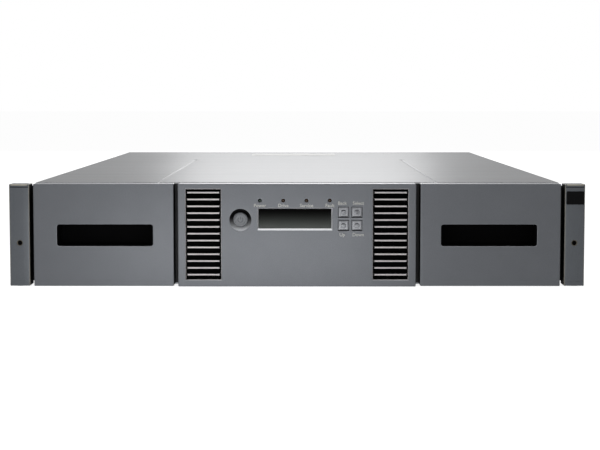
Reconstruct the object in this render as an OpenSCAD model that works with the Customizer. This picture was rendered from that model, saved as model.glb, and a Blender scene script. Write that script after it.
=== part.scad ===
// Two-unit rack-mount data tape library: two sliding cartridge magazines, a picker robot
// between them, a tape drive sled and a power supply at the rear. Millimetres, +Z up.
// Every module draws in "face" coordinates: X to the right, Y back from the front face,
// Z up from the underside. in_frame() then moves the piece into the part's own frame,
// whose origin is the centre of the underside. Right-hand pieces stand at +X.

/* [Cartridge slots] */
// Slot rows in each magazine, one above the other
slot_rows = 3; // [2:1:3]
// Slot columns in each magazine, front to back
slot_columns = 4; // [3:1:5]
// Clear width of one slot, along the length of the library
slot_w = 107.6; // [106:0.1:112]
// Clear depth of one slot, across the library
slot_depth = 111.4; // [104:0.1:116]
// Clear height of one slot
slot_h = 22.4; // [22:0.1:23]
// Thickness of the upright dividers between slot columns
divider_t = 2; // [1:0.1:3]
// Thickness of the shelves between slot rows
shelf_t = 0.8; // [0.6:0.1:1.2]
// Sheet of the magazine shell
magazine_sheet = 1; // [0.6:0.1:1.5]

/* [Chassis] */
// Sheet of the tray, cover, bulkhead and rear panel
sheet_t = 1.2; // [0.8:0.1:2]
// Height of the guide strips that the magazines run on
guide_h = 10.8; // [10.6:0.1:13]
// Width of one guide strip
guide_w = 5; // [3:0.1:8]
// Free height between a magazine and the cover
headroom = 2.5; // [2:0.1:6]
// Gap between a magazine and the chassis side
side_gap = 0.8; // [0.5:0.1:2]
// Free length between the magazines and the rear modules
robot_room = 41.6; // [36:0.1:60]
// Length of the bay for the rear modules
rear_bay_d = 226; // [225:0.5:260]
// Height of the cover's side flanges
flange_h = 12; // [8:0.1:20]
// Height of the lip that carries the cover
lip_h = 22; // [16:0.1:30]
// Width of the pressed grooves in the cover
groove_w = 3; // [2:0.1:5]
// Depth of the pressed grooves
groove_depth = 0.5; // [0.3:0.05:0.7]
// Distance of each groove from the middle of the cover
groove_x = 117.4; // [108:0.1:130]

/* [Front] */
// Depth of the moulded front
bezel_d = 19; // [17:0.1:24]
// Wall of the moulded fronts
bezel_wall = 2; // [1.5:0.1:2.4]
// Width of the middle panel
panel_w = 199.6; // [198:0.1:210]
// Gap between the middle panel and each magazine front
panel_gap = 3.6; // [2:0.1:6]
// How far the moulded fronts stay below the top of the cover
bezel_drop = 0.4; // [0:0.1:2]
// Gap under the magazine fronts
door_floor_gap = 0.5; // [0.3:0.1:2]
// Width of the finger pocket in a magazine front
pocket_w = 80.5; // [60:0.1:90]
// Height of the finger pocket
pocket_h = 18.3; // [14:0.1:24]
// Depth of the finger pocket
pocket_d = 25; // [15:0.1:27]
// Height of the finger pocket's middle
pocket_z = 43.2; // [38:0.1:50]
// Corner radius of the finger pocket's mouth
pocket_r = 2; // [1:0.1:5]
// Wall of the finger pocket liner
pocket_wall = 1.5; // [1:0.1:2]

/* [Vents] */
// Gap between each vent and the edge of the middle panel
vent_margin = 6.25; // [5:0.05:10]
// Height of each vent
vent_h = 76.7; // [60:0.1:78]
// Height of the vents' middle above the panel's middle
vent_rise = 0.65; // [0:0.05:1]
// Width between the two vents, where the controls are
controls_w = 126.9; // [124:0.1:136]
// Louvres in each vent
louvre_count = 13; // [6:1:13]
// Distance between louvres
louvre_pitch = 5.76; // [5:0.01:5.8]
// Thickness of a louvre
louvre_t = 1.4; // [0.8:0.1:2]
// Depth of a louvre
louvre_d = 8; // [4:0.1:12]

/* [Controls] */
// Gap between the display and the controls on both sides of it
display_gap = 5.15; // [3:0.05:8]
// Height of the display recess
display_h = 18.6; // [14:0.1:20]
// Height of the display's middle
display_z = 56; // [52:0.1:58]
// Radius of the power button's cap
power_r = 5.6; // [4:0.1:6.5]
// Radius of the dish around the power button
dish_r = 9.2; // [8:0.1:10]
// Distance of the power button's middle from the left vent
power_inset = 16.05; // [14:0.05:18]
// Stroke of the power button
power_stroke = 1.5; // [1:0.1:2]
// Radius of a status light
light_r = 1.5; // [1:0.1:2]
// Distance between status lights
light_pitch = 19.5; // [12:0.1:20]
// Height of the status lights
light_z = 72.4; // [71:0.1:76]
// Side of a square key
key_size = 8.6; // [7:0.1:9.4]
// Distance between keys
key_pitch = 11.2; // [10.6:0.1:13]
// Distance of the key block's middle from the right vent
key_inset = 18.85; // [15:0.05:20]
// Height of the middle of the key block
key_z = 57; // [54:0.1:60]
// How far the keys stand out of the panel
key_proud = 0.8; // [0.4:0.1:1.5]
// Stroke of a key
key_stroke = 1; // [0.5:0.1:1.5]
// Clearance round buttons, lights and keys
control_gap = 0.3; // [0.15:0.05:0.5]

/* [Rack ears] */
// Width of each ear cover
ear_w = 17; // [15:0.1:22]
// Gap between an ear cover and the plane of the chassis side
ear_gap = 2.3; // [1:0.1:5]
// How far the ear covers stay below the top of the magazine fronts
ear_drop = 0.3; // [0:0.1:3]
// Distance of the rack screw from the ear's outer edge
rack_hole_inset = 8.75; // [7.5:0.05:10]
// Height of the rack screw hole
rack_hole_z = 36.8; // [30:0.1:60]
// Clearance hole for the rack screw
rack_hole_d = 6.5; // [5:0.1:7]
// Hole in the ear cover for the screwdriver
driver_hole_d = 4.2; // [3:0.1:5]
// Thickness of the ear bracket's front flange
ear_flange_t = 2; // [1.5:0.1:3]
// Thickness of the ear bracket's side leg
ear_leg_t = 1.5; // [1:0.1:2]
// Length of the ear bracket's side leg
ear_leg_d = 42; // [30:0.1:80]
// Width of the blank badge
badge_w = 14.8; // [8:0.1:15]
// Height of the blank badge
badge_h = 11; // [6:0.1:14]

/* [Robot] */
// Diameter of the rods that the robot travels on
rail_d = 5; // [4:0.1:5.4]
// Diameter of the lift posts and lift screws
post_d = 5; // [4:0.1:5]
// Distance of the lift posts and screws from the middle, across
post_x = 64; // [62:0.1:66]
// Distance of the lift posts and screws from the middle, along
post_y = 60; // [60:0.1:61]
// Thickness of the carriage and lift plates
plate_t = 1.6; // [1:0.1:1.8]
// Thickness of the flat motor that turns the picker
turn_motor_t = 2.3; // [1.5:0.1:2.4]
// Radius of the flat motor that turns the picker
turn_motor_r = 34; // [20:0.5:48]
// Inside width of the picker
picker_w = 111; // [110:0.1:112]
// Length of the picker
picker_l = 102; // [98:0.1:103]
// Height of the picker's side walls
picker_h = 23.6; // [23:0.1:24]
// Thickness of the gripper's arm
gripper_t = 2; // [1.5:0.1:2.2]
// Radius of the picker's turning hub
hub_r = 12; // [8:0.1:16]
// Radius of the travel and lift motors
motor_r = 9; // [6:0.1:9]
// Height of the travel and lift motors
motor_h = 28; // [20:0.1:40]
// Module of the travel rack and pinion
gear_module = 0.8; // [0.7:0.05:0.85]
// Teeth on the travel pinion
pinion_teeth = 17; // [17:1:18]
// Thickness of the toothed rack
rack_t = 3; // [2.8:0.1:3.4]
// Radius of the pulleys that turn the lift screws
pulley_r = 4.5; // [4:0.1:4.6]
// Radial clearance of every shaft and bushing
running_gap = 0.05; // [0.03:0.01:0.1]

/* [Rear modules] */
// Width of the tape drive
drive_w = 146; // [120:0.5:148]
// Height of the tape drive
drive_h = 79; // [74:0.5:79]
// Length of the tape drive
drive_l = 196; // [190:0.5:200]
// Sheet of the tape drive's case
drive_sheet = 1.2; // [0.8:0.1:2]
// Width of the tape drive's slot
drive_slot_w = 107.8; // [106:0.1:110]
// Height of the tape drive's slot
drive_slot_h = 29; // [27:0.1:32]
// Underside of the tape drive's slot
drive_slot_z = 31; // [20:0.1:36]
// How far the sled's rear plate reaches past the drive on each side
sled_margin = 15; // [13:0.5:18]
// Reach of the pull tabs behind the rear panel
handle_reach = 23; // [18:0.5:30]
// Width of the power supply
psu_w = 98; // [90:0.5:100]
// Height of the power supply
psu_h = 79.4; // [74:0.1:80]
// Length of the power supply inside the chassis
psu_l = 199; // [160:0.5:205]
// Side of the drive fan's square frame
drive_fan_w = 40; // [36:1:44]
// Side of the power supply fan's square frame
psu_fan_w = 60; // [50:1:60]
// Depth of both fan frames
fan_d = 20; // [15:0.5:21]
// Blades of each fan
fan_blades = 7; // [5:1:9]
// Gap between the rear plates of the drive sled and the controller
plate_gap = 11.6; // [2:0.1:14]
// Length of the controller's circuit board
controller_l = 169; // [120:0.5:200]

/* [Hidden] */
$fn = 48;

// Small overshoot of every cutting tool, so that no skin is left
cut = 1;
// Gap between pieces that slide or hang beside each other
slide_gap = 0.3;

// Slots and magazines
slot_pitch_y = slot_w + divider_t;
slot_pitch_z = slot_h + shelf_t;
magazine_h = slot_rows * slot_h + (slot_rows - 1) * shelf_t + 2 * magazine_sheet;
magazine_z = sheet_t + guide_h + slide_gap;
magazine_top = magazine_z + magazine_h;
door_in = panel_w / 2 + panel_gap;
door_inset = 3;
slot_mouth = door_in + door_inset;
magazine_out = slot_mouth + slot_depth + magazine_sheet;
first_slot = bezel_d + 14;
magazine_end = first_slot + slot_columns * slot_pitch_y;

// Chassis
lip_in = magazine_out + side_gap;
wall_in = lip_in + sheet_t;
body_x = wall_in + sheet_t;
cover_under = magazine_top + headroom;
body_h = cover_under + sheet_t;
bay_start = magazine_end + robot_room;
body_end = bay_start + rear_bay_d;
panel_in = body_end - sheet_t;
tray_gap = 0.2;
groove_end = magazine_end + 3;
notch_w = 8;
notch_d = 8;

// Front
bezel_h = body_h - bezel_drop;
door_d = bezel_d - slide_gap;
door_x = (door_in + wall_in) / 2 - 1.1;
ear_in = body_x + ear_gap;
ear_out = ear_in + ear_w;
ear_top = bezel_h - ear_drop;
rack_hole_x = ear_out - rack_hole_inset;
badge_x = ear_out - 1 - badge_w / 2;
badge_z = ear_top - 6 - badge_h / 2;
badge_t = 0.8;
bulkhead_x = door_in + 1.2;
cable_hole_x = 18;
cable_hole_z = [16, 34];

// Screws: countersunk head, shank and the clearance of their holes
screw_head_r = 2.6;
screw_head_h = 1.1;
screw_r = 1.5;
screw_gap = 0.05;
screw_hole_l = 6;
cover_screw_inset = 40;
cover_screw_count = 4;
cover_screw_y = [for (i = [0 : cover_screw_count - 1])
    bezel_d + cover_screw_inset + i * (body_end - bezel_d - 2 * cover_screw_inset) / (cover_screw_count - 1)];
cover_screw_z = cover_under - flange_h / 2;
bracket_screw_z = [14, 40, 62];
bracket_screw_y = bezel_d + ear_leg_d - 12;

// Vents and controls
vent_w = panel_w / 2 - vent_margin - controls_w / 2;
vent_x = (controls_w + vent_w) / 2;
vent_rim = 1.8;
vent_z = bezel_h / 2 + vent_rise;
louvre_rise = 0.65;
bulkhead_vent_z = [vent_z - vent_h / 2 + 3, vent_z + vent_h / 2 - 5];
power_x = power_inset - controls_w / 2;
key_x = controls_w / 2 - key_inset;
dish_edge = power_x + dish_r;
keys_edge = key_x - (key_pitch + key_size) / 2;
display_w = keys_edge - dish_edge - 2 * display_gap;
display_x = (keys_edge + dish_edge) / 2;
board_x = controls_w / 2 - 4;
board_y = 10.4;
board_t = 1.6;
display_rim = 1;
display_y = 3;
lens_t = 2.5;
display_back = display_y + lens_t;
dish_d = 3;
dish_floor_t = 1.6;
power_z = display_z + 0.3;
power_face = 0.8;
power_back = dish_d + dish_floor_t + power_stroke;
key_flange_t = 1.2;
key_flange_y = bezel_wall + slide_gap;
key_stem_l = 2;
key_back = key_flange_y + key_flange_t + key_stem_l;
switch_w = 6;
standoff_r = 2;

// Robot
robot_y = first_slot + (slot_columns * slot_pitch_y - divider_t) / 2;
stack_gap = 0.4;
carriage_z = sheet_t + rack_t + stack_gap;
platform_z = carriage_z + plate_t + stack_gap;
platform_top = platform_z + plate_t;
picker_floor_t = 1.4;
picker_wall = 1.5;
runner_h = 1;
runner_w = 10;
cartridge_z = magazine_z + magazine_sheet;
picker_z = cartridge_z - runner_h - picker_floor_t;
picker_floor = picker_z + picker_floor_t;
picker_top = picker_floor + picker_h;
picker_x = picker_w / 2 + picker_wall;
collar_r = post_d / 2 + 1.5;
collar_h = 6;
rail_x = 98;
rail_z = carriage_z;
bushing_l = 16;
bushing_in = rail_x - rail_d / 2 - 2;
bushing_out = rail_x + rail_d / 2 + 1.4;
frame_t = 1.6;
frame_z = cover_under - 0.6 - frame_t;
frame_in_x = post_x - 7;
frame_in_y = post_y - 7;
plate_front = -post_y - collar_r - 0.5;
motor_x = post_x + collar_r + motor_r + 5;
motor_y = post_y + 6;
plate_rear = motor_y + motor_r + 2;
pitch_r = gear_module * pinion_teeth / 2;
shaft_r = 2;
pinion_z = sheet_t + slide_gap;
pinion_h = carriage_z - slide_gap - pinion_z;
tooth_pitch = PI * gear_module;
rack_back = 4.2;
travel = (slot_columns - 1) / 2 * slot_pitch_y;
// Lift screws and plain posts: [x, y] about the robot's middle
screw_at = [[-post_x, post_y], [post_x, -post_y]];
post_at = [[-post_x, -post_y], [post_x, post_y]];
rail_start = bezel_d + sheet_t + 1.2;
rail_end = bay_start - 6;
rail_block_l = 6;
rack_extra = 2 * tooth_pitch;
belt_t = 0.9;
belt_z = [sheet_t + 0.9, carriage_z - 0.7];
gripper_x = picker_w / 2 - slide_gap;
gripper_tip = picker_l / 2 + 2;
gripper_h = 12;
gripper_tail = 8;
hook_reach = 3.7;
hook_t = 1.7;
divider_back = 8;

// Latches
latch_x = slot_mouth + 55.6;
latch_y = magazine_end + 31.6;
latch_t = 2;
latch_z = magazine_z + magazine_sheet + slide_gap;
latch_pin_r = 2;
latch_hub_r = 5;
solenoid_x = [latch_x + 10, latch_x + 36];
solenoid_w = 18;
solenoid_h = 20;
plunger_r = 2.5;
tongue_x = latch_x - 19;
tongue_w = 12;
tongue_l = 7.6;
catch_l = 3;
catch_h = 4;

// Rear modules
sled_z = sheet_t + 1.2;
runner_top = sled_z - slide_gap;
sled_t = 1;
drive_z = sled_z + sled_t;
drive_y = bay_start + 4;
drive_end = drive_y + drive_l;
slot_axis_z = drive_slot_z + drive_slot_h - 2;
slot_axis_y = drive_y + 2.2;
door_barrel_r = 1.2;
door_pin_r = 0.8;
plate_y = body_end;
module_plate_t = 1.5;
sled_plate_x = drive_w / 2 + sled_margin;
thumb_x = sled_plate_x - 5;
thumb_z = 42;
thumb_r = 2;
psu_out = lip_in - 5.6;
psu_in = psu_out - psu_w;
psu_z = sheet_t + 1.2;
psu_y = body_end - psu_l;
psu_fan_x = psu_in + psu_fan_w / 2 + 3;
psu_fan_z = psu_z + psu_h - psu_fan_w / 2 - 2;
host_port_x = 16;
host_port_w = 31;
host_port_h = 10;
host_port_z = 58;
inlet_w = 27;
inlet_h = 20;
inlet_z = psu_z + 1.2;
inlet_d = 22;
inlet_wall = 1.6;
inlet_x = -psu_out + inlet_w / 2 + 5;
drive_fan_x = -44;
drive_fan_z = 54;
controller_in = sled_plate_x + plate_gap;
controller_out = lip_in - 2;
controller_mid = (controller_in + controller_out) / 2;
board_z = sheet_t + 5;
board_standoff_r = 3;
heat_sink_w = 36;
heat_sink_h = 10;
// Network and service ports: offset from the plate's inner end, width, height
ports = [[20, 16, 13.5], [66, 14.5, 7]];
overall_d = key_proud + body_end + handle_reach;

// ---------- shared shapes ----------

// Moves a piece from face coordinates into the part's frame
module in_frame() translate([0, key_proud - overall_d / 2, 0]) children();

// The left-hand copy of a right-hand piece
module left() mirror([1, 0, 0]) children();

// A right-hand piece and its left-hand copy
module both() {
    children();
    left() children();
}

// A box from its ranges along X, Y and Z
module slab(x, y, z) translate([x[0], y[0], z[0]]) cube([x[1] - x[0], y[1] - y[0], z[1] - z[0]]);

// A round bar along Y
module bar_y(x, y, z, r) translate([x, y[0], z]) rotate([-90, 0, 0]) cylinder(h = y[1] - y[0], r = r);

// A round bar along Z
module bar_z(x, y, z, r) translate([x, y, z[0]]) cylinder(h = z[1] - z[0], r = r);

// A round bar along X
module bar_x(x, y, z, r) translate([x[0], y, z]) rotate([0, 90, 0]) cylinder(h = x[1] - x[0], r = r);

// A flat outline in X and Z, given thickness along Y
module along_y(y) translate([0, y[1], 0]) rotate([90, 0, 0]) linear_extrude(y[1] - y[0]) children();

// A rectangle with round corners about its middle
module round_rect(w, h, r) {
    square([w - 2 * r, h], center = true);
    square([w, h - 2 * r], center = true);
    for (sx = [-1, 1], sz = [-1, 1]) translate([sx * (w / 2 - r), sz * (h / 2 - r)]) circle(r);
}

// Turns a child by a about the Y axis through x and z
module rotate_about(x, z, a) translate([x, 0, z]) rotate([0, a, 0]) children();

// The outline of the finger pocket grown by a margin
module pocket_outline(margin) {
    translate([door_x, pocket_z]) round_rect(pocket_w + 2 * margin, pocket_h + 2 * margin, pocket_r + margin);
}

// A countersunk screw pointing to -X, with its head at the origin
module flat_screw(length, margin = 0) {
    rotate([0, -90, 0]) {
        cylinder(h = screw_head_h, r1 = screw_head_r + margin, r2 = screw_r + margin);
        cylinder(h = length, r = screw_r + margin);
    }
}

// Places a child at each side screw of the right-hand side
module at_cover_screws() for (y = cover_screw_y) translate([body_x, y, cover_screw_z]) children();
module at_bracket_screws() {
    for (z = bracket_screw_z) translate([body_x + ear_leg_t, bracket_screw_y, z]) children();
}

// ---------- chassis ----------

module base_tray() color("silver") {
    tray_y = [bezel_d, body_end];
    difference() {
        union() {
            slab([-body_x, body_x], tray_y, [0, sheet_t]);
            both() slab([wall_in, body_x], tray_y, [0, cover_under - flange_h - tray_gap]);
            both() slab([lip_in, wall_in], [bezel_d + 6, body_end], [cover_under - lip_h, cover_under]);
            // Runners for the rear modules
            both() slab([drive_w / 2 - 14, drive_w / 2 - 6], [bay_start, panel_in], [sheet_t, runner_top]);
            for (x = [psu_in + 6, psu_out - 14]) slab([-x - 8, -x], [psu_y, panel_in], [sheet_t, runner_top]);
        }
        both() at_cover_screws() flat_screw(screw_hole_l, screw_gap);
        both() at_bracket_screws() flat_screw(screw_hole_l, screw_gap);
    }
}

module top_cover() color("gainsboro") {
    difference() {
        union() {
            slab([-body_x, body_x], [bezel_d, body_end], [cover_under, body_h]);
            both() slab([wall_in, body_x], [bezel_d, body_end], [cover_under - flange_h, cover_under]);
        }
        both() slab(
            [groove_x - groove_w / 2, groove_x + groove_w / 2],
            [bezel_d - cut, groove_end],
            [body_h - groove_depth, body_h + cut]
        );
        both() translate([groove_x, groove_end, cover_under - cut]) linear_extrude(sheet_t + 2 * cut)
            polygon([[-notch_w / 2, notch_d], [notch_w / 2, notch_d], [0, -1]]);
        both() at_cover_screws() flat_screw(screw_hole_l, screw_gap);
    }
}

module front_bulkhead() color("silver") {
    y = [bezel_d, bezel_d + sheet_t];
    through = [bezel_d - cut, bezel_d + sheet_t + cut];
    difference() {
        slab([-bulkhead_x, bulkhead_x], y, [sheet_t, cover_under]);
        both() slab(
            [vent_x - vent_w / 2 + 1, vent_x + vent_w / 2 - 1],
            through,
            bulkhead_vent_z
        );
        slab([-cable_hole_x, cable_hole_x], through, cable_hole_z);
    }
}

// Rear panel between the tray's sides, with an opening for each module
module rear_panel() color("silver") {
    through = [panel_in - cut, body_end + cut];
    opening_top = drive_z + drive_h + 0.4;
    drive_x = drive_w / 2 + 6;
    difference() {
        slab([-lip_in, lip_in], [panel_in, body_end], [sheet_t, cover_under]);
        slab([-drive_x, drive_x], through, [0, opening_top]);
        slab([-psu_out - 1, -psu_in + 1], through, [0, opening_top]);
        slab([controller_in + 4, controller_out - 4], through, [board_z - 2, opening_top - 6]);
        both() bar_y(thumb_x, through, thumb_z, thumb_r + running_gap);
    }
}

module magazine_guides() color("dimgray") both() {
    for (x = [slot_mouth + 6, magazine_out - 6 - guide_w])
        slab([x, x + guide_w], [bezel_d + 6, magazine_end], [sheet_t, sheet_t + guide_h]);
}

module case_screws() color("darkgray") both() {
    at_cover_screws() flat_screw(2 * sheet_t);
    at_bracket_screws() flat_screw(ear_leg_t + sheet_t);
}

// ---------- front panel and controls ----------

// The outline of a vent
module vent_outline(margin = 0) {
    translate([vent_x, vent_z]) square([vent_w + 2 * margin, vent_h + 2 * margin], center = true);
}

module front_panel() color("slategray") {
    face = [-cut, bezel_wall + cut];
    hx = panel_w / 2;
    difference() {
        union() {
            difference() {
                slab([-hx, hx], [0, bezel_d], [0, bezel_h]);
                slab(
                    [bezel_wall - hx, hx - bezel_wall],
                    [bezel_wall, bezel_d + cut],
                    [bezel_wall, bezel_h - bezel_wall]
                );
            }
            // Cup behind the power button
            bar_y(power_x, [bezel_wall - 0.5, dish_d + dish_floor_t], power_z, dish_r + 1.2);
        }
        both() along_y(face) vent_outline();
        along_y(face) translate([display_x, display_z]) square([display_w, display_h], center = true);
        translate([power_x, 0, power_z]) rotate([-90, 0, 0])
            cylinder(h = dish_d, r1 = dish_r, r2 = power_r + 1.6);
        bar_y(power_x, [-cut, bezel_d], power_z, power_r + control_gap);
        at_lights() bar_y(0, face, 0, light_r + control_gap / 2);
        for (i = [0:3]) at_key(i) slab(
            [-key_size / 2 - control_gap, key_size / 2 + control_gap],
            face,
            [-key_size / 2 - control_gap, key_size / 2 + control_gap]
        );
    }
}

// One louvre in plan: a full-width root that narrows to its nose
module louvre_plan() {
    w = vent_w / 2 - control_gap;
    polygon([[-w, louvre_d], [-w, 2], [-w + 1.2, 0.6], [w - 1.2, 0.6], [w, 2], [w, louvre_d]]);
}

module vent_grilles() color("lightslategray") both() {
    y = [bezel_wall, louvre_d];
    difference() {
        along_y(y) vent_outline(min(vent_rim, vent_margin - bezel_wall));
        along_y([y[0] - cut, y[1] + cut]) vent_outline(-control_gap);
    }
    for (i = [0 : louvre_count - 1])
        translate([vent_x, 0, vent_z + (i - (louvre_count - 1) / 2) * louvre_pitch - louvre_t / 2 + louvre_rise])
            linear_extrude(louvre_t) louvre_plan();
}

// Places a child at each status light
module at_lights() for (i = [-1.5:1:1.5]) translate([display_x + i * light_pitch, 0, light_z]) children();

// Places a child at key i: 0 top left, 1 top right, 2 bottom left, 3 bottom right
module at_key(i) {
    translate([key_x + (i % 2 - 0.5) * key_pitch, 0, key_z + (0.5 - floor(i / 2)) * key_pitch]) children();
}

// Frame and lens of the display
module display_window() color("darkslategray") {
    y = [bezel_wall, display_back];
    difference() {
        along_y(y) translate([display_x, display_z])
            square([display_w + 2 * display_rim, display_h + 2 * display_rim], center = true);
        along_y([y[0] - cut, display_y]) translate([display_x, display_z])
            square([display_w - 2 * display_rim, display_h - 2 * display_rim], center = true);
    }
}

module control_board() color("darkgreen") {
    slab([-board_x, board_x], [board_y, board_y + board_t], [display_z - 18, light_z + 5]);
    // Display module behind the window
    along_y([display_back, board_y]) translate([display_x, display_z])
        square([display_w - 4, display_h - 2], center = true);
    // Standoffs from the board back to the bulkhead
    both() for (z = [display_z - 15, light_z + 2])
        bar_y(board_x - 1.5 * standoff_r, [board_y + board_t, bezel_d], z, standoff_r);
    // Push switches behind the keys and the power button
    for (i = [0:3]) at_key(i) slab(
        [-switch_w / 2, switch_w / 2],
        [key_back + key_stroke + slide_gap, board_y],
        [-switch_w / 2, switch_w / 2]
    );
    slab(
        [power_x - switch_w / 2, power_x + switch_w / 2],
        [power_back + power_stroke + slide_gap, board_y],
        [power_z - switch_w / 2, power_z + switch_w / 2]
    );
}

module status_lights() color("darkolivegreen") at_lights() bar_y(0, [0.2, board_y], 0, light_r);

// One key: a cap with a low dome, a retaining flange and a stem
module key_cap(i) color("gainsboro") at_key(i) {
    half = key_size / 2;
    dome_r = key_size * 0.62;
    slab([-half, half], [-key_proud + 0.4, key_flange_y], [-half, half]);
    intersection() {
        translate([0, dome_r - key_proud, 0]) sphere(r = dome_r);
        bar_y(0, [-key_proud, 1], 0, half * 0.8);
    }
    flange = min(half + 0.9, key_pitch / 2 - 0.15);
    slab([-flange, flange], [key_flange_y, key_flange_y + key_flange_t], [-flange, flange]);
    bar_y(0, [key_flange_y + key_flange_t, key_back], 0, key_stem_l);
}

module power_button() color("slategray") {
    translate([power_x, 0, power_z]) {
        difference() {
            bar_y(0, [power_face, dish_d + dish_floor_t + slide_gap], 0, power_r);
            bar_y(0, [power_face - cut, power_face + 0.4], 0, power_r - 1.4);
        }
        bar_y(0, [dish_d + dish_floor_t + slide_gap, power_back], 0, power_r + 1.2);
    }
}

// ---------- rack ears ----------

module ear_bracket() {
    flange_y = [bezel_d, bezel_d + ear_flange_t];
    z = [3, ear_top - 2.2];
    difference() {
        union() {
            slab([body_x, ear_out], flange_y, z);
            slab(
                [body_x, body_x + ear_leg_t],
                [bezel_d, bezel_d + ear_leg_d],
                [3, cover_under - flange_h - 2]
            );
        }
        bar_y(rack_hole_x, [bezel_d - cut, bezel_d + ear_flange_t + cut], rack_hole_z, rack_hole_d / 2);
        at_bracket_screws() flat_screw(screw_hole_l, screw_gap);
    }
}

module ear_brackets() color("dimgray") both() ear_bracket();

// Outline of an ear cover with its outer corners cut
module ear_outline(margin = 0) {
    c = 1.6;
    x0 = ear_in + margin;
    x1 = ear_out - margin;
    z0 = door_floor_gap + margin;
    z1 = ear_top - margin;
    polygon([[x0, z0], [x1 - c, z0], [x1, z0 + c], [x1, z1 - c], [x1 - c, z1], [x0, z1]]);
}

module ear_cover() {
    difference() {
        union() {
            difference() {
                along_y([0, bezel_d]) ear_outline();
                along_y([bezel_wall, bezel_d + cut]) ear_outline(bezel_wall);
            }
            bar_y(rack_hole_x, [bezel_wall - 0.5, bezel_d - 9], rack_hole_z, driver_hole_d / 2 + 1.6);
        }
        bar_y(rack_hole_x, [-cut, bezel_d], rack_hole_z, driver_hole_d / 2);
        translate([rack_hole_x, 0, rack_hole_z]) rotate([-90, 0, 0])
            cylinder(h = 0.5, r1 = driver_hole_d / 2 + 0.5, r2 = driver_hole_d / 2);
    }
}

module badge_block() {
    slab(
        [badge_x - badge_w / 2, badge_x + badge_w / 2],
        [0, badge_t],
        [badge_z - badge_h / 2, badge_z + badge_h / 2]
    );
}

module ear_covers() color("slategray") {
    left() ear_cover();
    difference() {
        ear_cover();
        badge_block();
        translate([0, -cut, 0]) badge_block();
    }
}

module badge_plate() color("black") badge_block();

// ---------- magazines ----------

module magazine_front() color("slategray") {
    x = [door_in, wall_in];
    z = [door_floor_gap, bezel_h];
    difference() {
        slab(x, [0, door_d], z);
        slab(
            [x[0] + bezel_wall, magazine_out],
            [bezel_wall, door_d + cut],
            [z[0] + bezel_wall, z[1] - bezel_wall]
        );
        along_y([-cut, bezel_wall + cut]) pocket_outline(0);
    }
}

module handle_pocket() color("black") {
    y = [bezel_wall, bezel_wall + pocket_d];
    difference() {
        along_y(y) pocket_outline(pocket_wall);
        along_y([y[0] - cut, y[1] - pocket_wall]) pocket_outline(0);
    }
}

// Formed sheet channel that is open towards the robot, with a tongue at its rear
module magazine_shell() color("lightgray") {
    y = [bezel_wall, magazine_end];
    x = [slot_mouth, magazine_out];
    slab([x[1] - magazine_sheet, x[1]], y, [magazine_z, magazine_top]);
    for (z = [magazine_z, magazine_top - magazine_sheet])
        slab([x[0], x[1] - magazine_sheet], y, [z, z + magazine_sheet]);
    slab(
        [tongue_x - tongue_w / 2, tongue_x + tongue_w / 2],
        [y[1], y[1] + tongue_l + catch_l],
        [magazine_z, magazine_z + magazine_sheet]
    );
}

// Upright dividers that stand back from the mouth for the gripper, shelves between them,
// and the block on the tongue that the latch holds
module slot_dividers() color("dimgray") {
    back = magazine_out - magazine_sheet;
    z = [magazine_z + magazine_sheet, magazine_top - magazine_sheet];
    joint = 0.2;
    for (i = [0:slot_columns]) {
        y = first_slot - divider_t + i * slot_pitch_y;
        slab([slot_mouth + divider_back, back], [y, y + divider_t], z);
    }
    for (i = [0 : slot_columns - 1], j = [1 : slot_rows - 1]) {
        y = first_slot + i * slot_pitch_y;
        shelf_z = z[0] + j * slot_pitch_z - shelf_t;
        slab([slot_mouth + 2, back], [y + joint, y + slot_w - joint], [shelf_z, shelf_z + shelf_t]);
    }
    slab(
        [tongue_x - tongue_w / 2, tongue_x + tongue_w / 2],
        [magazine_end + tongue_l, magazine_end + tongue_l + catch_l],
        [z[0], z[0] + catch_h]
    );
}

// Lever whose beak closes in front of the block on the magazine's tongue
module latch() color("goldenrod") {
    beak_x = tongue_x + tongue_w / 2 + 1.6;
    beak_y = magazine_end + 1;
    translate([0, 0, latch_z]) difference() {
        union() {
            linear_extrude(latch_t) polygon([
                [beak_x, beak_y], [beak_x, beak_y + 3.2], [beak_x + 3.9, beak_y + 4.4],
                [latch_x - 3.5, latch_y - 2], [latch_x + 4, latch_y - 2], [latch_x - 4, beak_y]
            ]);
            bar_z(latch_x, latch_y, [0, latch_t], latch_hub_r);
        }
        bar_z(latch_x, latch_y, [-cut, latch_t + cut], latch_pin_r + running_gap);
    }
}

module latch_solenoids() color("steelblue") both() {
    bar_z(latch_x, latch_y, [sheet_t, latch_z - slide_gap], latch_hub_r);
    bar_z(latch_x, latch_y, [latch_z - slide_gap, latch_z + latch_t + 2], latch_pin_r);
    slab(solenoid_x, [latch_y - solenoid_w / 2, latch_y + solenoid_w / 2], [sheet_t, sheet_t + solenoid_h]);
    bar_x([latch_x + latch_hub_r + 1, solenoid_x[0]], latch_y, sheet_t + solenoid_h / 2, plunger_r);
    slab([latch_x + latch_hub_r - 1, solenoid_x[0]], [latch_y - 4, latch_y + 4], [sheet_t, sheet_t + 4]);
}

// ---------- robot ----------

module travel_rails() color("silver") both() {
    z = [sheet_t, rail_z + rail_d / 2 + 1];
    rod = [rail_start + 3, rail_end - 3];
    bar_y(rail_x, rod, rail_z, rail_d / 2);
    for (y = [rail_start, rail_end - rail_block_l]) difference() {
        slab([bushing_in + 0.5, bushing_out], [y, y + rail_block_l], z);
        bar_y(rail_x, rod, rail_z, rail_d / 2);
    }
}

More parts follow.
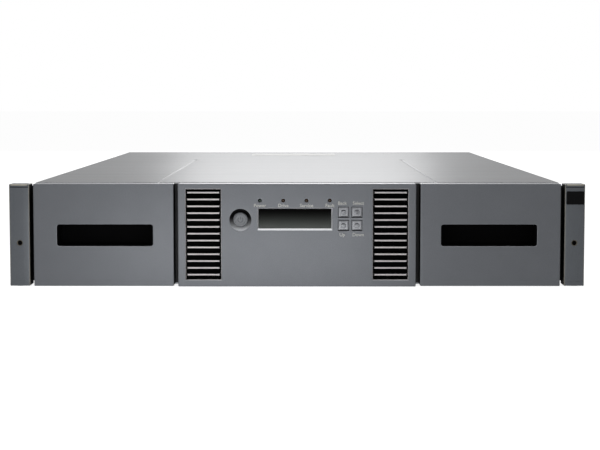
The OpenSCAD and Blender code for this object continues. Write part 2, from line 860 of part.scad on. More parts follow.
// Straight-sided rack teeth in plan, with a tooth beside the pinion's rest place
module rack_plan() {
    flank = tan(20);
    half = tooth_pitch / 4 - running_gap;
    dedendum = 1.25 * gear_module;
    tip = half - gear_module * flank;
    root = half + dedendum * flank;
    pitch_x = -motor_x + pitch_r;
    y0 = robot_y + motor_y;
    n = ceil((travel + rack_extra) / tooth_pitch);
    polygon(concat(
        [for (i = [-n:n]) each [
            [pitch_x + dedendum, y0 + i * tooth_pitch - root],
            [pitch_x - gear_module, y0 + i * tooth_pitch - tip],
            [pitch_x - gear_module, y0 + i * tooth_pitch + tip],
            [pitch_x + dedendum, y0 + i * tooth_pitch + root]
        ]],
        [
            [pitch_x + rack_back, y0 + n * tooth_pitch + root],
            [pitch_x + rack_back, y0 - n * tooth_pitch - root]
        ]
    ));
}

module gear_rack() color("ivory") translate([0, 0, sheet_t]) linear_extrude(rack_t) rack_plan();

// Point of an involute at roll angle t, turned to start at angle a
function involute(base, t, a) = let (u = t * PI / 180) base * [
    cos(t + a) + u * sin(t + a),
    sin(t + a) - u * cos(t + a)
];

// Pinion outline with a gap facing +X
module pinion_plan() {
    pressure = 20;
    base = pitch_r * cos(pressure);
    tip = pitch_r + gear_module;
    root = pitch_r - 1.25 * gear_module;
    steps = 4;
    roll_end = sqrt(pow(tip / base, 2) - 1) * 180 / PI;
    backlash = running_gap / pitch_r * 180 / PI;
    start = 90 / pinion_teeth + tan(pressure) * 180 / PI - pressure - backlash;
    polygon([for (k = [0 : pinion_teeth - 1]) let (mid = (k + 0.5) * 360 / pinion_teeth) each concat(
        [root * [cos(mid - start), sin(mid - start)]],
        [for (s = [0:steps]) involute(base, roll_end * s / steps, mid - start)],
        [for (s = [steps:-1:0]) let (p = involute(base, roll_end * s / steps, -start))
            [p[0] * cos(mid) + p[1] * sin(mid), p[0] * sin(mid) - p[1] * cos(mid)]],
        [root * [cos(mid + start), sin(mid + start)]]
    )]);
}

// Puts a child, drawn about the robot's own middle, at the robot's rest place
module at_robot() translate([0, robot_y, 0]) children();

module travel_pinion() color("ivory") at_robot() translate([-motor_x, motor_y, 0]) {
    translate([0, 0, pinion_z]) linear_extrude(pinion_h) pinion_plan();
    bar_z(0, 0, [pinion_z + pinion_h, carriage_z + plate_t + 3], shaft_r);
}

// Travel motor on the left, lift motor on the right
module robot_motors() color("dimgray") at_robot() both() translate([motor_x, motor_y, 0]) {
    z = carriage_z + plate_t;
    difference() {
        bar_z(0, 0, [z, z + motor_h], motor_r);
        bar_z(0, 0, [z - cut, z + 4], shaft_r + running_gap);
    }
    bar_z(0, 0, [z + motor_h, z + motor_h + 2], motor_r / 3);
}

// Carriage plate on four bushings, with the posts and the frame that holds their tops
module carriage() color("gray") at_robot() {
    plate_z = [carriage_z, carriage_z + plate_t];
    all_z = [sheet_t - cut, cover_under];
    bushing_y = post_y - 14;
    difference() {
        union() {
            slab([-bushing_in, bushing_in], [plate_front, plate_rear], plate_z);
            both() for (y = [-bushing_y, bushing_y])
                slab(
                    [bushing_in, bushing_out],
                    [y - bushing_l / 2, y + bushing_l / 2],
                    [sheet_t + stack_gap, rail_z + 3.2]
                );
            for (p = post_at) bar_z(p[0], p[1], [carriage_z, frame_z + frame_t], post_d / 2);
            difference() {
                slab(
                    [-post_x - collar_r, post_x + collar_r],
                    [plate_front, -plate_front],
                    [frame_z, frame_z + frame_t]
                );
                slab([-frame_in_x, frame_in_x], [-frame_in_y, frame_in_y], all_z);
            }
        }
        both() bar_y(rail_x, [plate_front - cut, plate_rear + cut], rail_z, rail_d / 2 + running_gap);
        for (p = screw_at) bar_z(p[0], p[1], all_z, post_d / 2 + running_gap);
        both() bar_z(motor_x, motor_y, all_z, shaft_r + running_gap);
    }
}

// Lift screw with its pulley under the carriage plate
module lift_screw(i) color("silver") at_robot() {
    bar_z(screw_at[i][0], screw_at[i][1], [belt_z[0], frame_z + frame_t - 0.3], post_d / 2);
    bar_z(screw_at[i][0], screw_at[i][1], belt_z, pulley_r);
}

module lift_pulley() color("silver") at_robot() {
    bar_z(motor_x, motor_y, [belt_z[0], carriage_z + plate_t + 3], shaft_r);
    bar_z(motor_x, motor_y, belt_z, pulley_r);
}

// Outline of the loop round both screws and the lift motor's pulley
module belt_outline(margin) hull() {
    for (p = concat(screw_at, [[motor_x, motor_y]])) translate(p)
        circle(pulley_r + slide_gap + margin, $fn = 32);
}

module lift_belt() color("black") at_robot() translate([0, 0, belt_z[0]])
    linear_extrude(belt_z[1] - belt_z[0]) difference() {
        belt_outline(belt_t);
        belt_outline(0);
    }

module lift_platform() color("lightgray") at_robot() {
    z = [platform_z, platform_top];
    through = [platform_z - cut, platform_z + collar_h + cut];
    corners = concat(screw_at, post_at);
    difference() {
        union() {
            slab([-post_x - collar_r, post_x + collar_r], [plate_front, -plate_front], z);
            for (p = corners) bar_z(p[0], p[1], [platform_z, platform_z + collar_h], collar_r);
        }
        for (p = corners) bar_z(p[0], p[1], through, post_d / 2 + running_gap);
        bar_z(0, 0, through, hub_r + running_gap);
    }
}

// Flat ring motor between the platform and the picker
module turn_motor() color("dimgray") at_robot() difference() {
    bar_z(0, 0, [platform_top, platform_top + turn_motor_t], turn_motor_r);
    bar_z(0, 0, [platform_top - cut, platform_top + turn_motor_t + cut], hub_r + 1);
}

module picker_frame() color("whitesmoke") at_robot() {
    y = [-picker_l / 2, picker_l / 2];
    inner = picker_w / 2;
    slab([-picker_x, picker_x], y, [picker_z, picker_floor]);
    both() slab([inner, picker_x], y, [picker_floor, picker_top]);
    both() slab([inner - runner_w, inner], y, [picker_floor, picker_floor + runner_h]);
    // Rib that keeps the cartridge off the left wall, as the gripper does on the right
    slab([-inner, -inner + gripper_t + slide_gap], y, [picker_floor + runner_h, picker_floor + picker_h / 2]);
    bar_z(0, 0, [platform_z - 0.2, picker_z], hub_r);
}

module barcode_reader() color("black") at_robot() {
    slab([-picker_x - 9, -picker_x], [-14, 14], [picker_floor + 4, picker_floor + 17]);
}

// Arm that slides in the picker, with a hook for the notch in a cartridge's side
module gripper() color("orange") at_robot() {
    z = [picker_floor + runner_h + slide_gap, picker_floor + gripper_h];
    face = gripper_x - gripper_t;
    slab([face, gripper_x], [gripper_tail - picker_l / 2, gripper_tip], z);
    slab([face - hook_reach, face], [gripper_tip - hook_t, gripper_tip], z);
}

// ---------- tape drive sled ----------

// A pull tab with an upturned end, behind a module's rear plate
module pull_tab(x, z) {
    tab_t = 2.5;
    tip = body_end + handle_reach;
    slab(x, [plate_y + module_plate_t, tip], [z, z + tab_t]);
    slab(x, [tip - tab_t, tip], [z + tab_t, z + 10]);
}

module drive_sled() color("silver") {
    z = [sled_z, sled_z + sled_t];
    tray_x = drive_w / 2 + 4;
    plate_z = [sled_z, cover_under - 0.6];
    fan_r = drive_fan_w / 2 - 2;
    through = [plate_y - cut, plate_y + module_plate_t + cut];
    difference() {
        union() {
            slab([-tray_x, tray_x], [drive_y - 2, plate_y], z);
            both() slab([tray_x - sled_t, tray_x], [drive_y - 2, plate_y], [z[1], z[1] + 30]);
            slab([-sled_plate_x, sled_plate_x], [plate_y, plate_y + module_plate_t], plate_z);
            pull_tab([22, 60], 24);
        }
        bar_y(drive_fan_x, through, drive_fan_z, fan_r);
        slab(
            [host_port_x - slide_gap, host_port_x + host_port_w + slide_gap],
            through,
            [host_port_z - slide_gap, host_port_z + host_port_h + slide_gap]
        );
        both() bar_y(thumb_x, through, thumb_z, thumb_r + running_gap);
    }
}

module drive_case() color("lightgray") {
    x = drive_w / 2;
    bezel = 6;
    difference() {
        slab([-x, x], [drive_y, drive_end], [drive_z, drive_z + drive_h]);
        slab(
            [-x + drive_sheet, x - drive_sheet],
            [drive_y + bezel, drive_end + cut],
            [drive_z + drive_sheet, drive_z + drive_h - drive_sheet]
        );
        slab(
            [-drive_slot_w / 2, drive_slot_w / 2],
            [drive_y - cut, drive_y + bezel + cut],
            [drive_slot_z, drive_slot_z + drive_slot_h]
        );
        bar_x(
            [-drive_slot_w / 2 - 2, drive_slot_w / 2 + 2],
            slot_axis_y,
            slot_axis_z,
            door_pin_r + running_gap
        );
    }
}

module drive_mechanism() color("darkgray") {
    deck_top = drive_slot_z - 3;
    deck_y = [drive_y + 8, drive_end - 4];
    inner = drive_w / 2 - drive_sheet;
    reel_r = 35;
    reel_y = drive_end - 5 - reel_r;
    // Deck that carries the cartridge bay, with the reel motor and the head block behind it
    slab([-inner, inner], deck_y, [deck_top - 2, deck_top]);
    both() slab([inner - 10, inner - 6], deck_y, [drive_z + drive_sheet, deck_top - 2]);
    bar_z(0, reel_y, [deck_top, deck_top + 18], reel_r - 3);
    bar_z(0, reel_y, [deck_top + 18, deck_top + 21], reel_r);
    slab([inner - 29, inner - 14], [reel_y - 26, reel_y - 2], [deck_top, deck_top + 24]);
}

// Host socket on the drive's interface, which reaches back to the sled's rear plate
module drive_ports() color("silver") {
    y = [drive_end, plate_y + module_plate_t + 0.4];
    difference() {
        slab([host_port_x, host_port_x + host_port_w], y, [host_port_z, host_port_z + host_port_h]);
        slab(
            [host_port_x + 1, host_port_x + host_port_w - 1],
            [y[1] - 16, y[1] + cut],
            [host_port_z + 1, host_port_z + host_port_h - 1]
        );
    }
}

module drive_door() color("dimgray") {
    half = drive_slot_w / 2 - slide_gap;
    bar_x([-half, half], slot_axis_y, slot_axis_z, door_barrel_r);
    bar_x([-half - 2, half + 2], slot_axis_y, slot_axis_z, door_pin_r);
    slab([-half, half], [slot_axis_y - 0.6, slot_axis_y + 0.6], [drive_slot_z + 0.6, slot_axis_z]);
}

// ---------- fans ----------

// Fan frame about its own middle, blowing along +Y, with its motor post on three arms
module fan_frame(w) {
    bore = w / 2 - 1.5;
    arm_t = 2.5;
    difference() {
        slab([-w / 2, w / 2], [0, fan_d], [-w / 2, w / 2]);
        bar_y(0, [-cut, fan_d + cut], 0, bore, $fn = 96);
    }
    for (a = [90, 210, 330]) rotate([0, a, 0]) slab([0, bore + 0.7], [0, arm_t], [-1.5, 1.5]);
    bar_y(0, [0, arm_t], 0, w / 6);
    bar_y(0, [arm_t, fan_d - 5], 0, 1.5);
}

// Rotor that turns on the frame's post
module fan_rotor(w) {
    start = 3.3;
    end = fan_d - 2;
    hub = w / 5;
    blade = w / 2 - 2.6;
    difference() {
        union() {
            bar_y(0, [start, end], 0, hub);
            for (i = [0 : fan_blades - 1]) rotate([0, i * 360 / fan_blades, 0])
                translate([hub - 1, (start + end) / 2, 0]) rotate([35, 0, 0])
                    translate([0, -(end - start) / 2, -0.6]) cube([blade - hub + 0.6, end - start - 2, 1.2]);
        }
        bar_y(0, [start - cut, fan_d - 4], 0, 1.5 + running_gap);
    }
}

// Places a child at the drive fan or the power supply fan
module at_drive_fan() translate([drive_fan_x, plate_y - fan_d, drive_fan_z]) children();
module at_psu_fan() translate([-psu_fan_x, plate_y - fan_d, psu_fan_z]) children();

module drive_fan_frame() color("dimgray") at_drive_fan() fan_frame(drive_fan_w);
module drive_fan_rotor() color("black") at_drive_fan() fan_rotor(drive_fan_w);
module psu_fan_frame() color("dimgray") at_psu_fan() fan_frame(psu_fan_w);
module psu_fan_rotor() color("black") at_psu_fan() fan_rotor(psu_fan_w);

// Captive thumbscrew with a grooved head, behind the sled's rear plate
module thumbscrew() color("silver") translate([thumb_x, plate_y, thumb_z]) {
    y = module_plate_t + slide_gap;
    bar_y(0, [-6, y], 0, thumb_r);
    bar_y(0, [y, y + 9], 0, 4.4);
    for (a = [0:30:330]) rotate([0, a, 0]) slab([4.3, 4.9], [y + 1, y + 8], [-0.5, 0.5]);
}

// ---------- power supply ----------

module psu_case() color("silver") {
    x = [-psu_out, -psu_in];
    z = [psu_z, psu_z + psu_h];
    y = [psu_y, plate_y];
    wall = 1.2;
    through = [plate_y - cut, plate_y + module_plate_t + cut];
    fan_r = psu_fan_w / 2 - 3;
    difference() {
        union() {
            slab(x, y, z);
            slab([x[0] - 3, x[1] + 6], [plate_y, plate_y + module_plate_t], [psu_z, cover_under - 0.6]);
            pull_tab([x[1] - 40, x[1] - 8], 7);
        }
        slab([x[0] + wall, x[1] - wall], [y[0] + wall, y[1]], [z[0] + wall, z[1] - wall]);
        for (i = [1:9]) slab(
            [x[0] + i * psu_w / 10 - 2, x[0] + i * psu_w / 10 + 2],
            [y[0] - cut, y[0] + wall + cut],
            [z[0] + 12, z[1] - 12]
        );
        for (dz = [-1, 0, 1]) difference() {
            bar_y(-psu_fan_x, through, psu_fan_z, fan_r * (dz + 2) / 3 - 0.8);
            bar_y(-psu_fan_x, through, psu_fan_z, fan_r * (dz + 1) / 3 + 0.8);
            for (a = [0, 90]) rotate_about(-psu_fan_x, psu_fan_z, a + 45)
                slab([-psu_fan_w, psu_fan_w], through, [-1.2, 1.2]);
        }
        slab([inlet_x - inlet_w / 2, inlet_x + inlet_w / 2], through, [inlet_z, inlet_z + inlet_h]);
    }
}

module power_inlet() color("black") {
    x = [inlet_x - inlet_w / 2, inlet_x + inlet_w / 2];
    z = [inlet_z, inlet_z + inlet_h];
    y = [plate_y - inlet_d, plate_y + module_plate_t + 1];
    difference() {
        slab(x, y, z);
        slab(
            [x[0] + inlet_wall, x[1] - inlet_wall],
            [y[0] + 4, y[1] + cut],
            [z[0] + inlet_wall, z[1] - inlet_wall]
        );
    }
}

// ---------- controller ----------

module controller_board() color("darkgreen") {
    x = [controller_in + 2, controller_out - 2];
    y = [panel_in - 1 - controller_l, panel_in - 1];
    inset = 2 * board_standoff_r;
    slab(x, y, [board_z, board_z + board_t]);
    for (sx = [x[0] + inset, x[1] - inset], sy = [y[0] + inset, y[1] - 4 * inset])
        bar_z(sx, sy, [sheet_t, board_z], board_standoff_r);
    // Heat sink of the processor
    translate([controller_mid, (y[0] + y[1]) / 2, board_z + board_t + heat_sink_h / 2])
        cube([heat_sink_w, heat_sink_w, heat_sink_h], center = true);
}

module io_ports() color("silver") for (p = ports) {
    x = controller_in + p[0];
    y = [panel_in - 20, plate_y + module_plate_t + 0.4];
    z = [board_z + board_t, board_z + board_t + p[2]];
    difference() {
        slab([x, x + p[1]], y, z);
        slab([x + 1, x + p[1] - 1], [y[0] + 4, y[1] + cut], [z[0] + 1, z[1] - 1]);
    }
}

module controller_plate() color("silver") {
    through = [plate_y - cut, plate_y + module_plate_t + cut];
    difference() {
        slab(
            [controller_in, controller_out],
            [plate_y, plate_y + module_plate_t],
            [sheet_t + 1, cover_under - 0.6]
        );
        for (p = ports) slab(
            [controller_in + p[0] - 0.3, controller_in + p[0] + p[1] + 0.3],
            through,
            [board_z + board_t - 0.3, board_z + board_t + p[2] + 0.3]
        );
        for (i = [0:11], j = [0:3]) bar_y(controller_in + 15 + i * 8, through, 40 + j * 9, 2.6);
    }
}

// ---------- what is drawn ----------

in_frame() base_tray();
in_frame() top_cover();
in_frame() rear_panel();
in_frame() front_bulkhead();
in_frame() front_panel();
in_frame() vent_grilles();
in_frame() display_window();
in_frame() control_board();
in_frame() status_lights();
in_frame() ear_brackets();
in_frame() ear_covers();
in_frame() badge_plate();
in_frame() magazine_guides();
in_frame() travel_rails();
in_frame() gear_rack();
in_frame() latch_solenoids();
in_frame() controller_board();
in_frame() controller_plate();
in_frame() io_ports();
in_frame() case_screws();
in_frame() left() magazine_front();  // left_magazine_front
in_frame() left() handle_pocket();  // left_handle_pocket
in_frame() left() magazine_shell();  // left_magazine_shell
in_frame() left() slot_dividers();  // left_slot_dividers
in_frame() magazine_front();  // right_magazine_front
in_frame() handle_pocket();  // right_handle_pocket
in_frame() magazine_shell();  // right_magazine_shell
in_frame() slot_dividers();  // right_slot_dividers
in_frame() left() latch();  // left_latch
in_frame() latch();  // right_latch
in_frame() power_button();
in_frame() key_cap(0);  // cancel_key
in_frame() key_cap(1);  // enter_key
in_frame() key_cap(2);  // previous_key
in_frame() key_cap(3);  // next_key
in_frame() carriage();
in_frame() robot_motors();
in_frame() travel_pinion();
in_frame() lift_screw(0);  // left_lift_screw
in_frame() lift_screw(1);  // right_lift_screw
in_frame() lift_pulley();
in_frame() lift_belt();
in_frame() lift_platform();
in_frame() turn_motor();
in_frame() picker_frame();
in_frame() barcode_reader();
in_frame() gripper();
in_frame() drive_sled();
in_frame() drive_case();
in_frame() drive_mechanism();
in_frame() drive_ports();
in_frame() drive_door();
in_frame() drive_fan_frame();
in_frame() drive_fan_rotor();
in_frame() left() thumbscrew();  // left_thumbscrew
in_frame() thumbscrew();  // right_thumbscrew
in_frame() psu_case();
in_frame() power_inlet();
in_frame() psu_fan_frame();
in_frame() psu_fan_rotor();
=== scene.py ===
"""Looks of a two-unit rack-mount data tape library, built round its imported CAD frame."""

import logging
import math
from collections.abc import Callable, Iterable
from dataclasses import dataclass
from enum import Enum
from functools import cache

import bmesh
import bpy
from bmesh.types import BMEdge, BMFace, BMVert
from mathutils import Matrix, Vector


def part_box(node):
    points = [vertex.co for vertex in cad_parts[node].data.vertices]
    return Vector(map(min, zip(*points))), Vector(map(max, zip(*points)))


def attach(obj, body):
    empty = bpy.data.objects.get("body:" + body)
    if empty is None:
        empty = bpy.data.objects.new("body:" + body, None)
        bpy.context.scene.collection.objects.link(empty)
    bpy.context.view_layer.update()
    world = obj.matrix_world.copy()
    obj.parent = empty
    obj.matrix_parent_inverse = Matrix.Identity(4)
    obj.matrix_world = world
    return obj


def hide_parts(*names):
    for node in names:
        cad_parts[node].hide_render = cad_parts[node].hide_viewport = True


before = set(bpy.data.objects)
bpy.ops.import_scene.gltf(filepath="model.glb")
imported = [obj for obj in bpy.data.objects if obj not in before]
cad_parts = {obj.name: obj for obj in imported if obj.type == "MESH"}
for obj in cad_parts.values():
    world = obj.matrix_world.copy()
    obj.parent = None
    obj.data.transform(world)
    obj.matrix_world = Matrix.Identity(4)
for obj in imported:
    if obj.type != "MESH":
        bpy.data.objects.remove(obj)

LOG = logging.getLogger("tape_library")
MM = 0.001
MERGE = 1e-6
RUB_AND_HIGHLIGHT_MARK = "edge"
RIGHT_ANGLE = math.radians(90)
WHITE = (1.0, 1.0, 1.0, 1.0)
DUST = (168, 164, 156)
PADS = (150, 148, 120)
Colour = tuple[float, float, float]
Ranges = tuple[float, float, float, float]
Profile = tuple[tuple[float, float], ...]
Socket = bpy.types.NodeSocket
Tree = bpy.types.NodeTree


class Axis(Enum):
    """A direction of the frame, as a unit vector."""

    X = (1.0, 0.0, 0.0)
    Y = (0.0, 1.0, 0.0)
    Z = (0.0, 0.0, 1.0)

    def vector(self) -> Vector:
        """Returns the direction as a Vector."""
        return Vector(self.value)


def linear(colour: Colour) -> tuple[float, float, float, float]:
    """Turns a display colour into the scene's linear colour.

    Args:
        colour: Red, green and blue from 0 to 255.

    Returns:
        The linear colour with full alpha.
    """
    low, high = 0.04045, 1.055
    parts = [c / 255 for c in colour]
    return (*(c / 12.92 if c <= low else ((c + 0.055) / high) ** 2.4 for c in parts), 1.0)


def linked(name: str, data: bpy.types.ID) -> bpy.types.Object:
    """Links a new object into the scene.

    Args:
        name: Its name.
        data: The mesh, light, camera or curve that it holds.

    Returns:
        The object.
    """
    made = bpy.data.objects.new(name, data)
    bpy.context.scene.collection.objects.link(made)
    return made


# ---------- shader node groups ----------


class Nodes:
    """Places nodes in one tree and links them."""

    def __init__(self, tree: Tree) -> None:
        """Keeps the tree that the nodes go into."""
        self.tree = tree

    def add(self, kind: str, takes: dict | None = None, **settings: object) -> bpy.types.Node:
        """Adds one node.

        Args:
            kind: The node's type name without ShaderNode.
            takes: Socket name or number, and the value or output socket that it takes.
            settings: Properties of the node.

        Returns:
            The new node.
        """
        node = self.tree.nodes.new("ShaderNode" + kind)
        for name, value in settings.items():
            setattr(node, name, value)
        self.fill(node, takes or {})
        return node

    def fill(self, node: bpy.types.Node, takes: dict) -> None:
        """Sets a node's inputs.

        Args:
            node: The node.
            takes: Socket name or number, and the value or output socket that it takes.
        """
        for key, value in takes.items():
            if isinstance(value, Socket):
                self.tree.links.new(value, node.inputs[key])
            else:
                node.inputs[key].default_value = value

    def math(self, operation: str, first: object, second: object = 0.0) -> Socket:
        """Adds a clamped sum, product or other operation and returns its result."""
        takes = {0: first, 1: second}
        return self.add("Math", takes, operation=operation, use_clamp=True).outputs[0]

    def mix(self, factor: object, first: object, second: object) -> Socket:
        """Adds a mix of two colours and returns its result."""
        return self.add("Mix", {0: factor, 6: first, 7: second}, data_type="RGBA").outputs[2]

    def spread(self, value: object, low: object, high: object, start: float = 0.0) -> Socket:
        """Maps a value that runs from start to one onto the range from low to high."""
        return self.add("MapRange", {0: value, 1: start, 2: 1.0, 3: low, 4: high}).outputs[0]

    def noise(self, place: Socket, scale: object, detail: float) -> Socket:
        """Adds a noise and returns its value."""
        return self.add("TexNoise", {"Vector": place, "Scale": scale, "Detail": detail}).outputs[0]

    def place(self) -> Socket:
        """Returns the place on the object."""
        return self.add("TexCoord").outputs["Object"]

    def height(self, vector: Socket) -> Socket:
        """Returns the Z of a vector."""
        return self.add("SeparateXYZ", {0: vector}).outputs[2]


def new_group(
    name: str, inputs: dict[str, str], outputs: dict[str, str]
) -> tuple[Nodes, dict[str, Socket], bpy.types.Node]:
    """Makes an empty node group with named sockets.

    Args:
        name: The group's name.
        inputs: Socket name and kind of each input.
        outputs: Socket name and kind of each output.

    Returns:
        The group's nodes, its input sockets by name and its output node.
    """
    tree = bpy.data.node_groups.new(name, "ShaderNodeTree")
    for way, sockets in (("INPUT", inputs), ("OUTPUT", outputs)):
        for socket, kind in sockets.items():
            tree.interface.new_socket(socket, in_out=way, socket_type="NodeSocket" + kind)
    start = tree.nodes.new("NodeGroupInput")
    return Nodes(tree), {k: start.outputs[k] for k in inputs}, tree.nodes.new("NodeGroupOutput")


@cache
def grain_group() -> Tree:
    """Fine grain with slow changes of tone, for plastic, paint and brushed metal.

    Returns:
        The node group.
    """
    sockets = {name: "Float" for name in ("Scale", "Slow", "Smooth", "Rough")}
    sockets |= {"Vector": "Vector", "Dark": "Color", "Light": "Color"}
    n, take, end = new_group(
        "Surface grain", sockets, {"Color": "Color", "Roughness": "Float", "Height": "Float"}
    )
    fine = n.noise(take["Vector"], take["Scale"], 3.0)
    slow_scale = n.add("Math", {0: take["Scale"], 1: 0.03}, operation="MULTIPLY").outputs[0]
    slow = n.noise(take["Vector"], slow_scale, 2.0)
    both = n.add("Mix", {0: take["Slow"], 2: fine, 3: slow}).outputs[0]
    sharper = n.math("ADD", n.spread(both, -1.0, 2.0))
    n.fill(end, {
        "Color": n.mix(sharper, take["Dark"], take["Light"]),
        "Roughness": n.spread(both, take["Smooth"], take["Rough"]),
        "Height": fine,
    })
    return n.tree


@cache
def rub_and_highlight_group() -> Tree:
    """Lighter tone along the edges that a piece marks: partly rubbed paint, partly a painted
    highlight where pieces mark up-facing ledges and top bevels strongly.

    Returns:
        The node group.
    """
    n, take, end = new_group(
        "Edge rubbing and painted highlight", {"Color": "Color", "RubAndHighlight": "Color", "Amount": "Float"}, {"Color": "Color"}
    )
    marked = n.add("Attribute", attribute_name=RUB_AND_HIGHLIGHT_MARK).outputs["Fac"]
    patchy = n.spread(n.noise(n.place(), 140.0, 4.0), 0.2, 1.0)
    mask = n.math("MULTIPLY", n.math("MULTIPLY", marked, patchy), take["Amount"])
    n.fill(end, {"Color": n.mix(mask, take["Color"], take["RubAndHighlight"])})
    return n.tree


@cache
def dust_group() -> Tree:
    """Thin dust on the faces that look up.

    Returns:
        The node group.
    """
    both = {"Color": "Color", "Roughness": "Float"}
    n, take, end = new_group("Settled dust", {**both, "Amount": "Float"}, both)
    up = n.spread(n.height(n.add("NewGeometry").outputs["Normal"]), 0.0, 1.0, 0.6)
    mask = n.math("MULTIPLY", n.math("MULTIPLY", up, n.noise(n.place(), 60.0, 5.0)), take["Amount"])
    n.fill(end, {
        "Color": n.mix(mask, take["Color"], linear(DUST)),
        "Roughness": n.math("ADD", take["Roughness"], n.math("MULTIPLY", mask, 0.5)),
    })
    return n.tree


class Pattern(Enum):
    """The main figure of a finish, besides its grain."""

    PLAIN = "plain"
    SPANGLE = "spangle"
    TRACKS = "tracks"
    # Darker towards the top: painted shade.
    FADE = "fade"


@dataclass(frozen=True)
class Finish:
    """One material: its two tones, its gloss and its grain."""

    name: str
    dark: Colour
    light: Colour
    smooth: float = 0.4
    rough: float = 0.55
    metallic: float = 0.0
    scale: float = 1500.0
    stretch: Colour = (1.0, 1.0, 1.0)
    depth: float = 0.00002
    # Lighter edge tone and how much of it: rubbed paint along the edges, and a painted highlight on
    # the edges that pieces mark strongly.
    rub_and_highlight: Colour | None = None
    rub_and_highlight_amount: float = 0.5
    dust: float = 0.0
    pattern: Pattern = Pattern.PLAIN
    slow: float = 0.35
    gloss: float = 0.5
    edge_tint: float = 1.0
    # Heights in millimetres over which the painted top shade figure darkens a finish towards its
    # top, and the colour of that painted shade.
    fade: tuple[float, float] = (0.0, 1.0)
    shade: Colour = (2, 2, 2)

    def material(self) -> bpy.types.Material:
        """Builds the material at the first call.

        Returns:
            The material.
        """
        if self.name in bpy.data.materials:
            return bpy.data.materials[self.name]
        made = bpy.data.materials.new(self.name)
        made.use_nodes = True
        n = Nodes(made.node_tree)
        place = n.place()
        grain = n.add("Group", {
            "Vector": n.add("Mapping", {"Vector": place, "Scale": self.stretch}).outputs[0],
            "Scale": self.scale, "Slow": self.slow, "Smooth": self.smooth, "Rough": self.rough,
            "Dark": linear(self.dark), "Light": linear(self.light),
        }, node_tree=grain_group()).outputs
        colour, roughness = self.figure(n, place, grain["Color"]), grain["Roughness"]
        # Edge tone: rubbed paint in part, painted highlight in part.
        if self.rub_and_highlight:
            takes = {"Color": colour, "RubAndHighlight": linear(self.rub_and_highlight), "Amount": self.rub_and_highlight_amount}
            colour = n.add("Group", takes, node_tree=rub_and_highlight_group()).outputs["Color"]
        if self.dust:
            takes = {"Color": colour, "Roughness": roughness, "Amount": self.dust}
            colour, roughness = n.add("Group", takes, node_tree=dust_group()).outputs
        bump = n.add("Bump", {"Height": grain["Height"], "Distance": self.depth, "Strength": 1.0})
        n.fill(n.tree.nodes["Principled BSDF"], {
            "Metallic": self.metallic, "Specular IOR Level": self.gloss,
            "Specular Tint": (self.edge_tint,) * 3 + (1.0,),
            "Base Color": colour, "Roughness": roughness, "Normal": bump.outputs[0],
        })
        return made

    def figure(self, n: Nodes, place: Socket, colour: Socket) -> Socket:
        """Adds the finish's main figure to its colour.

        Args:
            n: The material's nodes.
            place: The place on the object.
            colour: The colour so far.

        Returns:
            The colour with the figure in it.
        """
        if self.pattern is Pattern.SPANGLE:
            cells = n.add("TexVoronoi", {"Vector": place, "Scale": 95.0}).outputs["Color"]
            tone = n.add("SeparateColor", {0: cells}).outputs[0]
            return n.mix(n.math("MULTIPLY", tone, 0.35), colour, linear(self.dark))
        if self.pattern is Pattern.TRACKS:
            pads = n.add("TexVoronoi", {"Vector": place, "Scale": 240.0}, distance="MANHATTAN")
            return n.mix(n.math("LESS_THAN", pads.outputs["Distance"], 0.12), colour, linear(PADS))
        if self.pattern is Pattern.FADE:
            # Painted shade: the colour darkens towards the shade colour from the lower height up to
            # the upper one.
            low, high = (z * MM for z in self.fade)
            takes = {0: n.height(place), 1: low, 2: high, 3: 1.0, 4: 0.0}
            down = n.add("MapRange", takes).outputs[0]
            return n.mix(n.math("POWER", down, 1.8), linear(self.shade), colour)
        return colour


